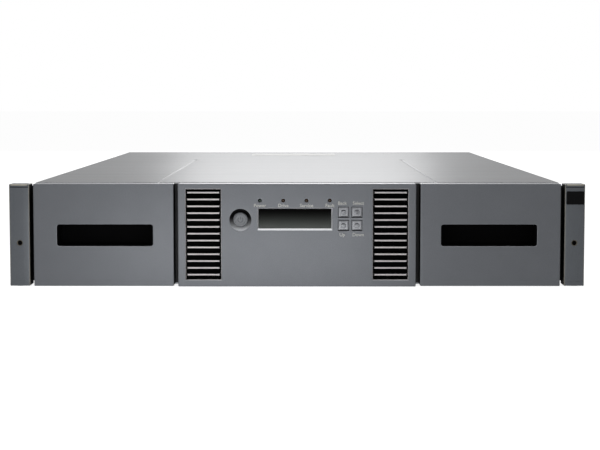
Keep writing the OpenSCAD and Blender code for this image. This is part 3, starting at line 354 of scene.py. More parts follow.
class Look:
    """The finishes of the library's pieces."""

    # The panel paint's lighter edge tone: a little rubbing on the rims, and a painted highlight on
    # the up-facing ledges of the openings.
    FRONT = Finish(
        "front_paint", (106, 109, 114), (122, 125, 130), 0.36, 0.46, 0.2, 1800,
        slow=0.15, gloss=0.3, rub_and_highlight=(206, 209, 214), rub_and_highlight_amount=0.45,
    )
    # The ears' lighter edge tone is mostly a painted highlight along their top bevels.
    EAR = Finish(
        "ear_paint", (95, 99, 104), (109, 113, 118), 0.34, 0.44, 0.2, 1800,
        slow=0.15, gloss=0.3, rub_and_highlight=(226, 216, 190), rub_and_highlight_amount=0.4,
    )
    POCKET = Finish("pocket_black", (3, 3, 4), (6, 6, 7), 0.6, 0.8, scale=1600, gloss=0.05)
    # Near-black painted shade: the sides in the gaps, the line under the ears' top lips, the floor
    # of the ear bores and the screw recesses.
    PAINTED_SHADE = Finish("painted_shade_black", (8, 8, 9), (13, 13, 14), 0.6, 0.8, gloss=0.05)
    # Louvre noses: light grey plastic, lightened further as a painted highlight on their lit
    # fronts; the blades behind are near black as painted shade between the louvres.
    NOSE = Finish("louvre_nose_pale_and_painted_highlight", (236, 230, 231), (246, 241, 242), 0.3, 0.45, scale=1200)
    BLADE = Finish("louvre_blade_painted_shade", (10, 10, 11), (16, 16, 17), 0.5, 0.7, scale=1200, gloss=0.15)
    # Near-black foam behind the vents: painted shade inside the vents.
    FOAM = Finish(
        "filter_foam_painted_shade", (5, 5, 5), (10, 10, 10), 0.8, 0.95, scale=900, depth=0.0002, gloss=0.05
    )
    # The display surround is the panel's moulding; its pale silver tone is a painted highlight
    # standing in for the lit lower slope.
    SATIN = Finish(
        "surround_painted_highlight", (214, 215, 218), (230, 231, 234), 0.28, 0.36, 0.35, 1400,
        rub_and_highlight=(244, 244, 245),
    )
    # The power dish is the panel's moulding; its pale silver tone is a painted highlight, and its
    # darkening towards the top is painted shade.
    DISH = Finish(
        "dish_painted_highlight_and_shade", (212, 214, 218), (230, 232, 235), 0.3, 0.4, 0.3, 1400, gloss=0.2,
        pattern=Pattern.FADE, fade=(48.5, 59.0), shade=(14, 14, 15),
    )
    # The lens fades to near black towards its top as painted shade under the recess's upper edge;
    # its lighter grey-green lower part is a painted reflection.
    LENS = Finish(
        "display_lens", (112, 116, 113), (122, 126, 123), 0.1, 0.16, scale=1300, depth=0.000002,
        slow=0.5, gloss=0.02, pattern=Pattern.FADE, fade=(46.0, 64.5),
    )
    KEY = Finish(
        "key_silver", (142, 144, 149), (162, 164, 169), 0.22, 0.32, 0.1,
        rub_and_highlight=(206, 207, 210), rub_and_highlight_amount=0.4,
    )
    # Darker grey for the keys' downward-facing slopes: painted shade under each key's rounded lower
    # edge.
    KEY_PAINTED_SHADE = Finish("key_painted_shade", (60, 61, 65), (74, 75, 79), 0.3, 0.4, 0.1, gloss=0.2)
    BUTTON = Finish(
        "button_grey", (88, 91, 95), (104, 107, 111), 0.28, 0.4, 0.2, rub_and_highlight=(150, 152, 154)
    )
    MARK = Finish("mark_grey", (44, 46, 49), (60, 62, 66), 0.4, 0.5, scale=2500)
    PRINT = Finish("printed_marks", (196, 196, 190), (214, 214, 208), 0.5, 0.6, scale=2500)
    GREEN = Finish("light_green", (14, 30, 22), (24, 48, 36), 0.15, 0.25, scale=900, gloss=0.3)
    AMBER = Finish("light_amber", (44, 30, 16), (66, 44, 24), 0.15, 0.25, scale=900, gloss=0.3)
    PAPER = Finish("blank_label", (196, 196, 194), (210, 210, 208), 0.45, 0.6, scale=1100)
    BADGE = Finish("badge_gloss_black", (6, 6, 7), (12, 12, 13), 0.3, 0.4, scale=900, gloss=0.06)
    COVER = Finish(
        "cover_satin", (140, 141, 143), (172, 173, 175), 0.27, 0.36, 1.0, stretch=(0.03, 1.0, 1.0),
        depth=0.000012, rub_and_highlight=(238, 238, 238), rub_and_highlight_amount=0.4, edge_tint=0.35,
    )
    ZINC = Finish(
        "zinc_sheet", (140, 144, 148), (176, 180, 184), 0.32, 0.5, 0.9, 900,
        pattern=Pattern.SPANGLE, dust=0.25,
    )
    STEEL = Finish(
        "plain_steel", (150, 152, 154), (180, 182, 184), 0.28, 0.42, 1.0, 1200, dust=0.15
    )
    MAGAZINE = Finish(
        "magazine_sheet", (158, 160, 163), (188, 190, 193), 0.3, 0.45, 1.0, 1400, (0.04, 1.0, 1.0)
    )
    ALUMINIUM = Finish(
        "machined_aluminium", (172, 174, 177), (200, 202, 205), 0.25, 0.38, 1.0, 1600,
        (1.0, 0.05, 1.0),
    )
    ROD = Finish("ground_rod", (176, 178, 180), (208, 210, 212), 0.12, 0.2, 1.0, 2000)
    BUSH = Finish("bush_bronze", (84, 80, 72), (100, 96, 86), 0.4, 0.55, 0.8, gloss=0.3)
    SCREW = Finish("screw_zinc", (120, 122, 125), (160, 162, 165), 0.25, 0.4, 1.0)
    # Black steel for the ear brackets; on the front bulkhead this black is painted shade seen
    # through the gaps between the front mouldings.
    BLACK_BRACKET_AND_GAP_SHADE = Finish("black_bracket_and_painted_shade", (34, 35, 37), (46, 47, 49), metallic=0.3, scale=1300)
    DARK = Finish("matt_dark_grey", (40, 41, 44), (54, 55, 58), dust=0.2)
    BLACK = Finish("matt_black", (20, 20, 22), (32, 32, 34), dust=0.15)
    BOARD = Finish(
        "board_laminate", (18, 66, 38), (26, 84, 50), 0.35, 0.5, scale=700, pattern=Pattern.TRACKS
    )
    GEAR = Finish("gear_white", (214, 210, 196), (230, 226, 214), 0.35, 0.5, scale=900)
    ACETAL = Finish("orange_acetal", (196, 104, 30), (214, 122, 42), 0.35, 0.48, scale=900)
    PICKER = Finish("picker_grey", (176, 178, 180), (198, 200, 202), 0.38, 0.52, scale=1300)
    MOTOR = Finish("motor_grey", (60, 62, 66), (84, 86, 90), 0.3, 0.45, 0.7, 1400)
    RUBBER = Finish("belt_black", (18, 18, 18), (28, 28, 28), 0.7, 0.85, scale=1800)
    PORT = Finish("port_nickel", (176, 176, 172), (206, 206, 202), 0.22, 0.35, 1.0, 1200)


# ---------- mesh building ----------


def middle_of(node: str) -> Vector:
    """Returns the middle of a CAD node."""
    low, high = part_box(node)
    return (low + high) / 2


def front_y() -> float:
    """Returns the Y of the front face's plane."""
    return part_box("front_panel")[0].y


def mid(face: BMFace) -> Vector:
    """Returns the middle of a face."""
    return face.calc_center_median()


def new_verts(made: dict) -> list[BMVert]:
    """Returns the vertices among what an operator made."""
    return [v for v in made["geom"] if isinstance(v, BMVert)]


def faces_of(verts: Iterable[BMVert]) -> list[BMFace]:
    """Returns the faces round some vertices, each once."""
    return list(dict.fromkeys(f for v in verts for f in v.link_faces))


def edges_of(verts: Iterable[BMVert]) -> list[BMEdge]:
    """Returns the edges that meet at some vertices, each once."""
    return list(dict.fromkeys(e for v in verts for e in v.link_edges))


def run_of(edge: BMEdge, number: int) -> float:
    """Returns how far an edge runs along X, Y or Z, which are 0, 1 and 2."""
    return abs(edge.verts[0].co[number] - edge.verts[1].co[number])


class Solid:
    """A mesh under construction, in the frame's own metres."""

    def __init__(self) -> None:
        """Starts an empty mesh with a mark for rubbed edges and painted highlights."""
        self.bm = bmesh.new()
        self.rub_and_highlight = self.bm.faces.layers.float.new(RUB_AND_HIGHLIGHT_MARK)

    def box(self, low: Vector, high: Vector) -> list[BMVert]:
        """Adds a box.

        Args:
            low: Its lowest corner.
            high: Its highest corner.

        Returns:
            Its vertices.
        """
        made = bmesh.ops.create_cube(self.bm, size=1.0)["verts"]
        bmesh.ops.scale(self.bm, vec=high - low, verts=made)
        bmesh.ops.translate(self.bm, vec=(low + high) / 2, verts=made)
        return made

    def bar(self, centre: Vector, half: tuple[float, float], near: float, far: float) -> None:
        """Adds a square bar along Y.

        Args:
            centre: Its middle in X and Z.
            half: Half of its width and of its height, in millimetres.
            near: Y of its front.
            far: Y of its back.
        """
        x, z = (size * MM for size in half)
        low, high = (centre.x - x, near, centre.z - z), (centre.x + x, far, centre.z + z)
        self.box(Vector(low), Vector(high))

    def rod(self, start: Vector, end: Vector, radius: float, steps: int = 32) -> None:
        """Adds a round bar.

        Args:
            start: Middle of the first end.
            end: Middle of the other end.
            radius: Its radius.
            steps: Sides of the bar.
        """
        along = end - start
        turn = Axis.Z.vector().rotation_difference(along.normalized()).to_matrix().to_4x4()
        bmesh.ops.create_cone(
            self.bm, cap_ends=True, segments=steps, radius1=radius, radius2=radius,
            depth=along.length, matrix=Matrix.Translation((start + end) / 2) @ turn,
        )

    def turned(self, centre: Vector, profile: list[tuple[float, float]], steps: int = 48) -> None:
        """Spins a profile round an axis along Y.

        Args:
            centre: The point on the axis that the profile is measured from.
            profile: Radius and distance behind the centre of each point, in millimetres.
            steps: Steps of the full turn.
        """
        line = [self.bm.verts.new(centre + Vector((r, y, 0)) * MM) for r, y in profile]
        line += [self.bm.edges.new(pair) for pair in zip(line, line[1:])]
        self.spin(line, centre, math.tau, steps)
        self.weld()

    def spin(self, geom: list, centre: Vector, angle: float, steps: int) -> None:
        """Sweeps a line or a face round an axis along Y.

        Args:
            geom: What is swept.
            centre: A point on the axis.
            angle: How far it goes, in radians. A full turn closes on itself.
            steps: Steps of the sweep.
        """
        bmesh.ops.spin(
            self.bm, geom=geom, cent=centre, axis=Axis.Y.value, dvec=(0, 0, 0), angle=angle,
            steps=steps, use_merge=angle == math.tau, use_duplicate=False,
        )

    def weld(self) -> None:
        """Joins the vertices that lie on one another."""
        bmesh.ops.remove_doubles(self.bm, verts=self.bm.verts, dist=MERGE)

    def edges_where(self, test: Callable[[BMEdge], bool], angle: float = 30.0) -> list[BMEdge]:
        """Finds the sharp edges that pass a test.

        Args:
            test: The test.
            angle: How sharp they are at least, in degrees.

        Returns:
            The edges.
        """
        self.bm.normal_update()
        limit = math.radians(angle)
        pairs = [e for e in self.bm.edges if len(e.link_faces) == 2]
        return [e for e in pairs if e.calc_face_angle(0.0) > limit and test(e)]

    def edges_along(self, number: int) -> list[BMEdge]:
        """Finds the sharp edges that run along X, Y or Z, which are 0, 1 and 2."""
        return self.edges_where(lambda e: run_of(e, number) > 0.1 * MM)

    def edges_before(self, y: float, angle: float = 30.0) -> list[BMEdge]:
        """Finds the sharp edges that lie at a Y or in front of it."""
        return self.edges_where(lambda e: all(v.co.y < y + MERGE for v in e.verts), angle)

    def soften(
        self, edges: Iterable[BMEdge], width: float, segments: int = 3, rub_and_highlight: float = 1.0
    ) -> None:
        """Rounds edges and marks the new faces for the lighter edge tone, rubbing and painted
        highlight.

        Args:
            edges: The edges.
            width: Width of the rounding in millimetres.
            segments: Its steps.
            rub_and_highlight: How strongly its faces take the lighter edge tone.
        """
        made = bmesh.ops.bevel(
            self.bm, geom=list(edges), offset=width * MM, offset_type="OFFSET", segments=segments,
            profile=0.5, affect="EDGES", clamp_overlap=True, material=-1,
        )
        for face in made["faces"]:
            face[self.rub_and_highlight] = rub_and_highlight

    def push(self, faces: list[BMFace], move: Vector) -> list[BMVert]:
        """Extrudes faces.

        Args:
            faces: The faces.
            move: The way to their new ends.

        Returns:
            The vertices of the new ends.
        """
        tips = new_verts(bmesh.ops.extrude_face_region(self.bm, geom=faces))
        bmesh.ops.translate(self.bm, vec=move, verts=tips)
        left = [f for f in faces if f.is_valid]
        if left:
            self.remove(left, "FACES_ONLY")
        return tips

    def remove(self, faces: list[BMFace], context: str = "FACES") -> None:
        """Deletes faces, with or without the edges that only they have."""
        bmesh.ops.delete(self.bm, geom=faces, context=context)

    def slice(self, point: Vector, normal: Vector, faces: list[BMFace] | None = None) -> None:
        """Cuts faces along a plane.

        Args:
            point: A point on the plane.
            normal: The plane's direction.
            faces: The faces, or None for the whole mesh.
        """
        near = self.bm.faces[:] if faces is None else faces
        geom = near + [e for f in near for e in f.edges] + [v for f in near for v in f.verts]
        geom = list(dict.fromkeys(geom))
        bmesh.ops.bisect_plane(self.bm, geom=geom, dist=MERGE, plane_co=point, plane_no=normal)

    def paint(self, number: int, test: Callable[[BMFace], bool]) -> None:
        """Gives some faces another of the piece's finishes.

        Args:
            number: The finish's number.
            test: The test that the faces pass.
        """
        self.bm.normal_update()
        for face in self.bm.faces:
            if test(face):
                face.material_index = number

    def mesh(self, name: str) -> bpy.types.Mesh:
        """Ends the work on the mesh.

        Args:
            name: The mesh's name.

        Returns:
            The mesh.
        """
        made = bpy.data.meshes.new(name)
        self.bm.to_mesh(made)
        self.bm.free()
        return made

    def piece(
        self, name: str, body: str, slot: str, finishes: list[Finish], node: str = "",
        smooth: float = 40.0,
    ) -> None:
        """Closes the mesh and puts it into the scene.

        Args:
            name: The piece's name.
            body: The CAD body that it rides on.
            slot: The record's material slot; not used.
            finishes: The finishes by number.
            node: The CAD node that it stands for, if any.
            smooth: Edges sharper than this angle in degrees stay sharp.
        """
        self.weld()
        bmesh.ops.recalc_face_normals(self.bm, faces=self.bm.faces)
        mesh = self.mesh(name)
        for polygon in mesh.polygons:
            polygon.use_smooth = True
        mesh.set_sharp_from_angle(angle=math.radians(smooth))
        for finish in finishes:
            mesh.materials.append(finish.material())
        made = linked(name, mesh)
        made.modifiers.new("flat_faces", "WEIGHTED_NORMAL").keep_sharp = True
        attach(made, body)
        if node:
            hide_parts(node)
        LOG.info("%s: %d faces, rides on %s", name, len(mesh.polygons), body)


class Plate(Solid):
    """A flat front in X and Z that is cut into openings and then given its depth."""

    MARGIN = 0.8
    OUTLINE = 1.5

    def __init__(self, low: Vector, high: Vector, wall: float) -> None:
        """Draws the outline.

        Args:
            low: Lowest corner of the piece, whose Y is the front.
            high: Highest corner of the piece, whose Y is the back.
            wall: Thickness of the front and of the rim round it, in millimetres.
        """
        super().__init__()
        self.low, self.high, self.wall = low, high, wall * MM
        corners = [(low.x, low.z), (high.x, low.z), (high.x, high.z), (low.x, high.z)]
        self.bm.faces.new([self.bm.verts.new((x, low.y, z)) for x, z in corners])
        self.window(low.x + self.wall, high.x - self.wall, low.z + self.wall, high.z - self.wall)

    def window(self, x0: float, x1: float, z0: float, z1: float) -> list[BMFace]:
        """Cuts the front along a rectangle.

        Args:
            x0: Its left side.
            x1: Its right side.
            z0: Its lower side.
            z1: Its upper side.

        Returns:
            The faces inside it.
        """
        middle = Vector(((x0 + x1) / 2, self.low.y, (z0 + z1) / 2))
        half = Vector(((x1 - x0) / 2, 0, (z1 - z0) / 2))
        for axis in (Axis.X, Axis.Z):
            way = axis.vector()
            for side in (-1, 1):
                near = [f for f in self.bm.faces if self.reaches(f, middle, half)]
                self.slice(middle + way * half.dot(way) * side, way, near)
        inside = []
        for face in self.bm.faces:
            off = mid(face) - middle
            if abs(off.x) < half.x and abs(off.z) < half.z:
                inside.append(face)
        return inside

    @staticmethod
    def reaches(face: BMFace, middle: Vector, half: Vector) -> bool:
        """Tells whether a face's own box overlaps a rectangle.

        Args:
            face: The face.
            middle: The rectangle's middle.
            half: Half of its size.

        Returns:
            Whether they overlap.
        """
        for k in (0, 2):
            across = [v.co[k] - middle[k] for v in face.verts]
            if max(across) < -half[k] + MERGE or min(across) > half[k] - MERGE:
                return False
        return True

    def opening(
        self, place: Vector, half_w: float, half_h: float, corner: float, steps: int = 4
    ) -> None:
        """Cuts a hole with round corners through the front.

        Args:
            place: Middle of the hole.
            half_w: Half of its width.
            half_h: Half of its height.
            corner: Radius of its corners, or the radius of a round hole.
            steps: Steps of each corner.
        """
        x, y, z, free = place.x, self.low.y, place.z, self.MARGIN * MM
        outer = self.window(
            x - half_w - free, x + half_w + free, z - half_h - free, z + half_h + free
        )
        rim = [e for f in outer for e in f.edges if sum(g in outer for g in e.link_faces) == 1]
        self.remove(outer)
        rim = list(dict.fromkeys(e for e in rim if e.is_valid))
        if corner >= half_w - MERGE:
            turn = Matrix.Translation((x, y, z)) @ Matrix.Rotation(RIGHT_ANGLE, 4, "X")
            ring = bmesh.ops.create_circle(self.bm, segments=8 * steps, radius=corner, matrix=turn)
            inner = edges_of(ring["verts"])
        else:
            corners = [(-1, -1), (1, -1), (1, 1), (-1, 1)]
            quad = [self.bm.verts.new((x + sx * half_w, y, z + sz * half_h)) for sx, sz in corners]
            face = self.bm.faces.new(quad)
            made = bmesh.ops.bevel(
                self.bm, geom=quad, offset=corner, offset_type="OFFSET", segments=steps,
                profile=0.5, affect="VERTICES", clamp_overlap=True, material=-1,
            )
            loop = [v for f in (face, *made["faces"]) if f.is_valid for v in f.verts]
            loop += made["verts"]
            inner = edges_of(loop)
            self.remove(faces_of(loop), "FACES_ONLY")
        bmesh.ops.triangle_fill(self.bm, edges=rim + inner, normal=(0, -1, 0), use_beauty=True)

    def thicken(self) -> None:
        """Gives the front its thickness and the rim its depth."""
        made = bmesh.ops.extrude_face_region(self.bm, geom=self.bm.faces[:])
        bmesh.ops.translate(self.bm, vec=(0, self.wall, 0), verts=new_verts(made))
        rim = [f for f in made["geom"] if isinstance(f, BMFace) and self.inset(f) < self.wall]
        self.push(rim, Vector((0, self.high.y - self.low.y - self.wall, 0)))
        bmesh.ops.recalc_face_normals(self.bm, faces=self.bm.faces)

    def inset(self, face: BMFace) -> float:
        """Returns how far a face's middle lies inside the outline."""
        c = mid(face)
        return min(c.x - self.low.x, self.high.x - c.x, c.z - self.low.z, self.high.z - c.z)

    def mould(self, edge: float, rim: float, segments: int) -> None:
        """Gives the front its depth, its round edges, its rubbed tone and painted highlights, and
        its sides in painted shade.

        Args:
            edge: Rounding of the outline's corners in millimetres.
            rim: Rounding of the outline and the openings.
            segments: Steps of the rim's rounding.
        """
        self.thicken()
        self.soften(self.outline_corners(), edge, 4)
        self.soften(self.edges_before(self.low.y, 45), rim, segments)
        self.rub_and_highlight_ledges()
        self.shade_sides()

    def rub_and_highlight_ledges(self, amount: float = 2.2) -> None:
        """Marks the rounded rims: the outline faintly, the other rims a little, and the up-facing
        lower edges of the openings most, as a painted highlight.

        Args:
            amount: How strongly the up-facing edges take the painted highlight.
        """
        self.bm.normal_update()
        for face in self.bm.faces:
            if face[self.rub_and_highlight] > 0:
                outer = self.inset(face) < self.OUTLINE * MM
                # Up-facing rims get the most of the lighter tone: a painted highlight where the
                # light falls.
                face[self.rub_and_highlight] = 0.1 if outer else amount if face.normal.z > 0.3 else 0.5

    def shade_sides(self, depth: float = 1.2) -> None:
        """Paints the left and right sides black behind the front: painted shade in the gaps between
        the mouldings.

        Args:
            depth: How far behind the front they turn black, in millimetres.
        """
        y = self.low.y + depth * MM
        self.slice(Vector((0, y, 0)), Axis.Y.vector())
        self.paint(1, lambda f: abs(f.normal.x) > 0.9 and mid(f).y > y)

    def outline_corners(self) -> list[BMEdge]:
        """Returns the four edges of the outline that run along Y."""
        return self.edges_where(lambda e: all(self.at_corner(v.co) for v in e.verts), 60)

    def at_corner(self, co: Vector) -> bool:
        """Returns whether a point is at a corner of the outline."""
        return all(min(abs(co[k] - self.low[k]), abs(co[k] - self.high[k])) < MERGE for k in (0, 2))


# ---------- front ----------


@dataclass
class MagazineFront:
    """The moulded front of one magazine, with its finger pocket."""

    side: str
    wall: float = 2.0
    liner: float = 1.5
    pocket_corner: float = 2.0
    edge: float = 0.9
    pocket_edge: float = 0.5

    def build(self) -> None:
        """Builds the hollow front with the pocket's opening, and the black cup behind it."""
        ends = ("magazine", "magazine_front", "handle_pocket")
        body, door, pocket = (f"{self.side}_{end}" for end in ends)
        low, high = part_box(pocket)
        plate = Plate(*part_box(door), self.wall)
        half = (high - low) / 2 - Vector((self.liner, 0, self.liner)) * MM
        plate.opening(middle_of(pocket), half.x, half.z, self.pocket_corner * MM)
        plate.mould(self.edge, self.pocket_edge, 3)
        plate.piece(f"{self.side}_door", body, "front_plastic", [Look.FRONT, Look.PAINTED_SHADE], door)
        cup = Solid()
        cup.box(low, high)
        cup.soften(cup.edges_along(1), self.pocket_corner + self.liner, 4)
        front = min(cup.bm.faces, key=lambda f: mid(f).y)
        wall = self.liner * MM
        bmesh.ops.inset_region(cup.bm, faces=[front], thickness=wall, use_even_offset=True)
        cup.push([front], Vector((0, high.y - low.y - wall, 0)))
        cup.piece(f"{self.side}_pocket_liner", body, "black_plastic", [Look.POCKET], pocket)


@dataclass
class FrontPanel:
    """The moulded middle panel with its vents, display opening and control holes."""

    wall: float = 2.0
    edge: float = 0.9
    rim_edge: float = 0.55
    display_lip: float = 1.0
    display_rise: float = 0.8
    key_half: float = 4.5
    key_gap: float = 0.2
    dish_radius: float = 9.2
    light_gap: float = 0.15
    light_count: int = 4
    keys: tuple[str, ...] = ("cancel_key", "enter_key", "previous_key", "next_key")

    def build(self) -> None:
        """Cuts every opening in turn and gives the panel its depth."""
        plate = Plate(*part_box("front_panel"), self.wall)
        side = (self.key_half + self.key_gap) * MM
        places = [middle_of(key) for key in self.keys]
        squares = [(c.x - side, c.x + side, c.z - side, c.z + side) for c in places]
        for ranges in (*VentGrilles().mouths(), self.display(), *squares):
            plate.remove(plate.window(*ranges))
        for centre, radius in self.lights():
            plate.opening(centre, *[radius + self.light_gap * MM] * 3)
        plate.opening(middle_of("power_button"), *[self.dish_radius * MM] * 3, 6)
        plate.mould(self.edge, self.rim_edge, 2)
        finishes = [Look.FRONT, Look.PAINTED_SHADE]
        plate.piece("middle_panel", "chassis", "front_plastic", finishes, "front_panel")

    def display(self) -> Ranges:
        """Measures the display's opening, a lip inside its frame.

        Returns:
            Its ranges in X and Z.
        """
        low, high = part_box("display_window")
        lip, rise = self.display_lip, self.display_rise
        z0, z1 = low.z + (lip + rise) * MM, high.z - (lip - rise) * MM
        return low.x + lip * MM, high.x - lip * MM, z0, z1

    def lights(self) -> list[tuple[Vector, float]]:
        """Finds the status lights, left to right.

        Returns:
            The middle and the radius of each.
        """
        low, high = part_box("status_lights")
        radius = (high.z - low.z) / 2
        step = (high.x - low.x - 2 * radius) / (self.light_count - 1)
        across = [low.x + radius + i * step for i in range(self.light_count)]
        return [(Vector((x, low.y, low.z + radius)), radius) for x in across]


@dataclass
class VentGrilles:
    """The two louvred vents of the middle panel, with a foam filter behind each."""

    width: float = 30.1
    rim: float = 1.8
    count: int = 13
    pitch: float = 5.76
    thickness: float = 1.35
    nose: float = 1.4
    nose_round: float = 0.6
    taper: float = 1.5
    rise: float = 0.65
    gap: float = 0.3
    panel_wall: float = 2.05
    foam: float = 3.0
    foam_gap: float = 0.2
    knob: float = 0.9
    cells: tuple[int, int] = (12, 32)

    def mouths(self) -> list[Ranges]:
        """Measures the two vents.

        Returns:
            The ranges in X and Z of each.
        """
        low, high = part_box("vent_grilles")
        rim, width = self.rim * MM, self.width * MM
        z0, z1 = low.z + rim, high.z - rim
        left, right = low.x + rim, high.x - rim
        return [(left, left + width, z0, z1), (right - width, right, z0, z1)]

    def build(self) -> None:
        """Builds the frames and louvres of both vents as one piece, the filters as another."""
        grille, foam = Solid(), Solid()
        low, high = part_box("vent_grilles")
        for x0, x1, z0, z1 in self.mouths():
            self.frame(grille, (x0, x1, z0, z1), high.y)
            for i in range(self.count):
                z = (z0 + z1) / 2 + ((i - (self.count - 1) / 2) * self.pitch + self.rise) * MM
                self.louvre(grille, x0, x1, z, low.y, high.y)
            middle, size = Vector((x0 + x1, 0, z0 + z1)) / 2, Vector((x1 - x0, 0, z1 - z0))
            self.filter(foam, middle, size, high.y)
        lit, finishes = low.y + (self.nose + 0.1) * MM, [Look.BLADE, Look.NOSE]
        # Only the front faces of the noses take the pale finish; all else stays near black as
        # painted shade between the louvres.
        grille.paint(1, lambda f: mid(f).y < lit and f.normal.y < -0.2 and abs(f.normal.x) < 0.3)
        grille.piece("vent_louvres", "chassis", "grille_plastic", finishes, "vent_grilles")
        # The near-black filters stand in for the shade inside the vents: painted shade.
        foam.piece("vent_filters", "chassis", "black_plastic", [Look.FOAM], smooth=80)

    def frame(self, grille: Solid, mouth: Ranges, back: float) -> None:
        """Adds the four bars behind the panel that carry the louvres.

        Args:
            grille: The piece so far.
            mouth: The vent's ranges in X and Z.
            back: Y of the bars' back.
        """
        x0, x1, z0, z1 = mouth
        rim, inner, y = self.rim * MM, self.gap * MM, front_y() + self.panel_wall * MM
        for low, high in (
            ((x0 - rim, y, z0 - rim), (x0 + inner, back, z1 + rim)),
            ((x1 - inner, y, z0 - rim), (x1 + rim, back, z1 + rim)),
            ((x0 + inner, y, z0 - rim), (x1 - inner, back, z0 + inner)),
            ((x0 + inner, y, z1 - inner), (x1 - inner, back, z1 + rim)),
        ):
            grille.box(Vector(low), Vector(high))

    def louvre(
        self, grille: Solid, x0: float, x1: float, z: float, front: float, back: float
    ) -> None:
        """Adds one louvre whose ends taper towards its round nose.

        Args:
            grille: The piece so far.
            x0: Left side of the vent.
            x1: Right side of the vent.
            z: Height of the louvre's middle.
            front: Y of its nose.
            back: Y of its back.
        """
        half, gap, nose = self.thickness / 2 * MM, self.gap * MM, self.nose * MM
        low, high = Vector((x0 + gap, front + nose, z - half)), Vector((x1 - gap, back, z + half))
        root = min(faces_of(grille.box(low, high)), key=lambda f: mid(f).y)
        tip = grille.push([root], Vector((0, -nose, 0)))
        narrow = 1 - 2 * self.taper * MM / (high.x - low.x)
        middle = Matrix.Translation(-(low + high) / 2)
        bmesh.ops.scale(grille.bm, vec=(narrow, 1, 1), verts=tip, space=middle)
        long = [e for e in edges_of(tip) if run_of(e, 0) > (x1 - x0) / 2]
        grille.soften(long, self.nose_round, 3, 0.0)

    def filter(self, foam: Solid, middle: Vector, size: Vector, front: float) -> None:
        """Adds one foam filter with a knobbly front.

        Args:
            foam: The piece so far.
            middle: Middle of the vent.
            size: Size of the vent.
            front: Y that the filter lies behind.
        """
        columns, rows = self.cells
        made = bmesh.ops.create_grid(foam.bm, x_segments=columns, y_segments=rows, size=0.5)
        grid = made["verts"]
        for v in grid:
            column, row = round((v.co.x + 0.5) * columns), round((v.co.y + 0.5) * rows)
            y = front + self.foam_gap * MM + self.knob * MM * ((column + row) % 2)
            v.co = Vector((middle.x + v.co.x * size.x, y, middle.z + v.co.y * size.z))
        faces = faces_of(grid)
        made = bmesh.ops.extrude_face_region(foam.bm, geom=faces, use_keep_orig=True)
        for v in new_verts(made):
            v.co.y = front + self.foam * MM


@dataclass
class Display:
    """The display: its sloped surround and its dark lens."""

    start: float = 0.15
    slope: float = 1.45
    depth: float = 3.0
    bottom: float = 1.35
    side: float = 0.8
    top: float = 0.6
    sheet: float = 0.8
    overlap: float = 0.02

    def build(self) -> None:
        """Builds the surround and the lens."""
        x0, x1, z0, z1 = FrontPanel().display()
        y, back = front_y(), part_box("display_window")[1].y
        side, bottom, top = self.side * MM, self.bottom * MM, self.top * MM
        mouth, inner = (x0, x1, z0, z1), (x0 + side, x1 - side, z0 + bottom, z1 - top)
        ring, loops, slopes = Solid(), [], []
        for (a, b, c, d), deep in ((mouth, self.start), (inner, self.slope), (inner, self.depth)):
            corners = ((a, c), (b, c), (b, d), (a, d))
            verts = [ring.bm.verts.new((x, y + deep * MM, z)) for x, z in corners]
            loops.append([ring.bm.edges.new((verts[i], verts[(i + 1) % 4])) for i in range(4)])
        for near, far in zip(loops, loops[1:]):
            slopes += bmesh.ops.bridge_loops(ring.bm, edges=near + far)["faces"]
        bmesh.ops.recalc_face_normals(ring.bm, faces=ring.bm.faces)
        bmesh.ops.solidify(ring.bm, geom=slopes, thickness=self.sheet * MM)
        ring.piece("display_surround", "chassis", "front_plastic", [Look.SATIN], smooth=20)
        lens = Solid()
        lens.box(Vector((x0, y + (self.depth - self.overlap) * MM, z0)), Vector((x1, back, z1)))
        lens.piece("display_lens", "chassis", "display_glass", [Look.LENS], "display_window")


class Glyph(Enum):
    """The raised sign on a key: its number of sides and its turn in degrees."""

    LEFT = (3, 90.0)
    DOT = (24, 0.0)
    UP = (3, 0.0)
    DOWN = (3, 180.0)


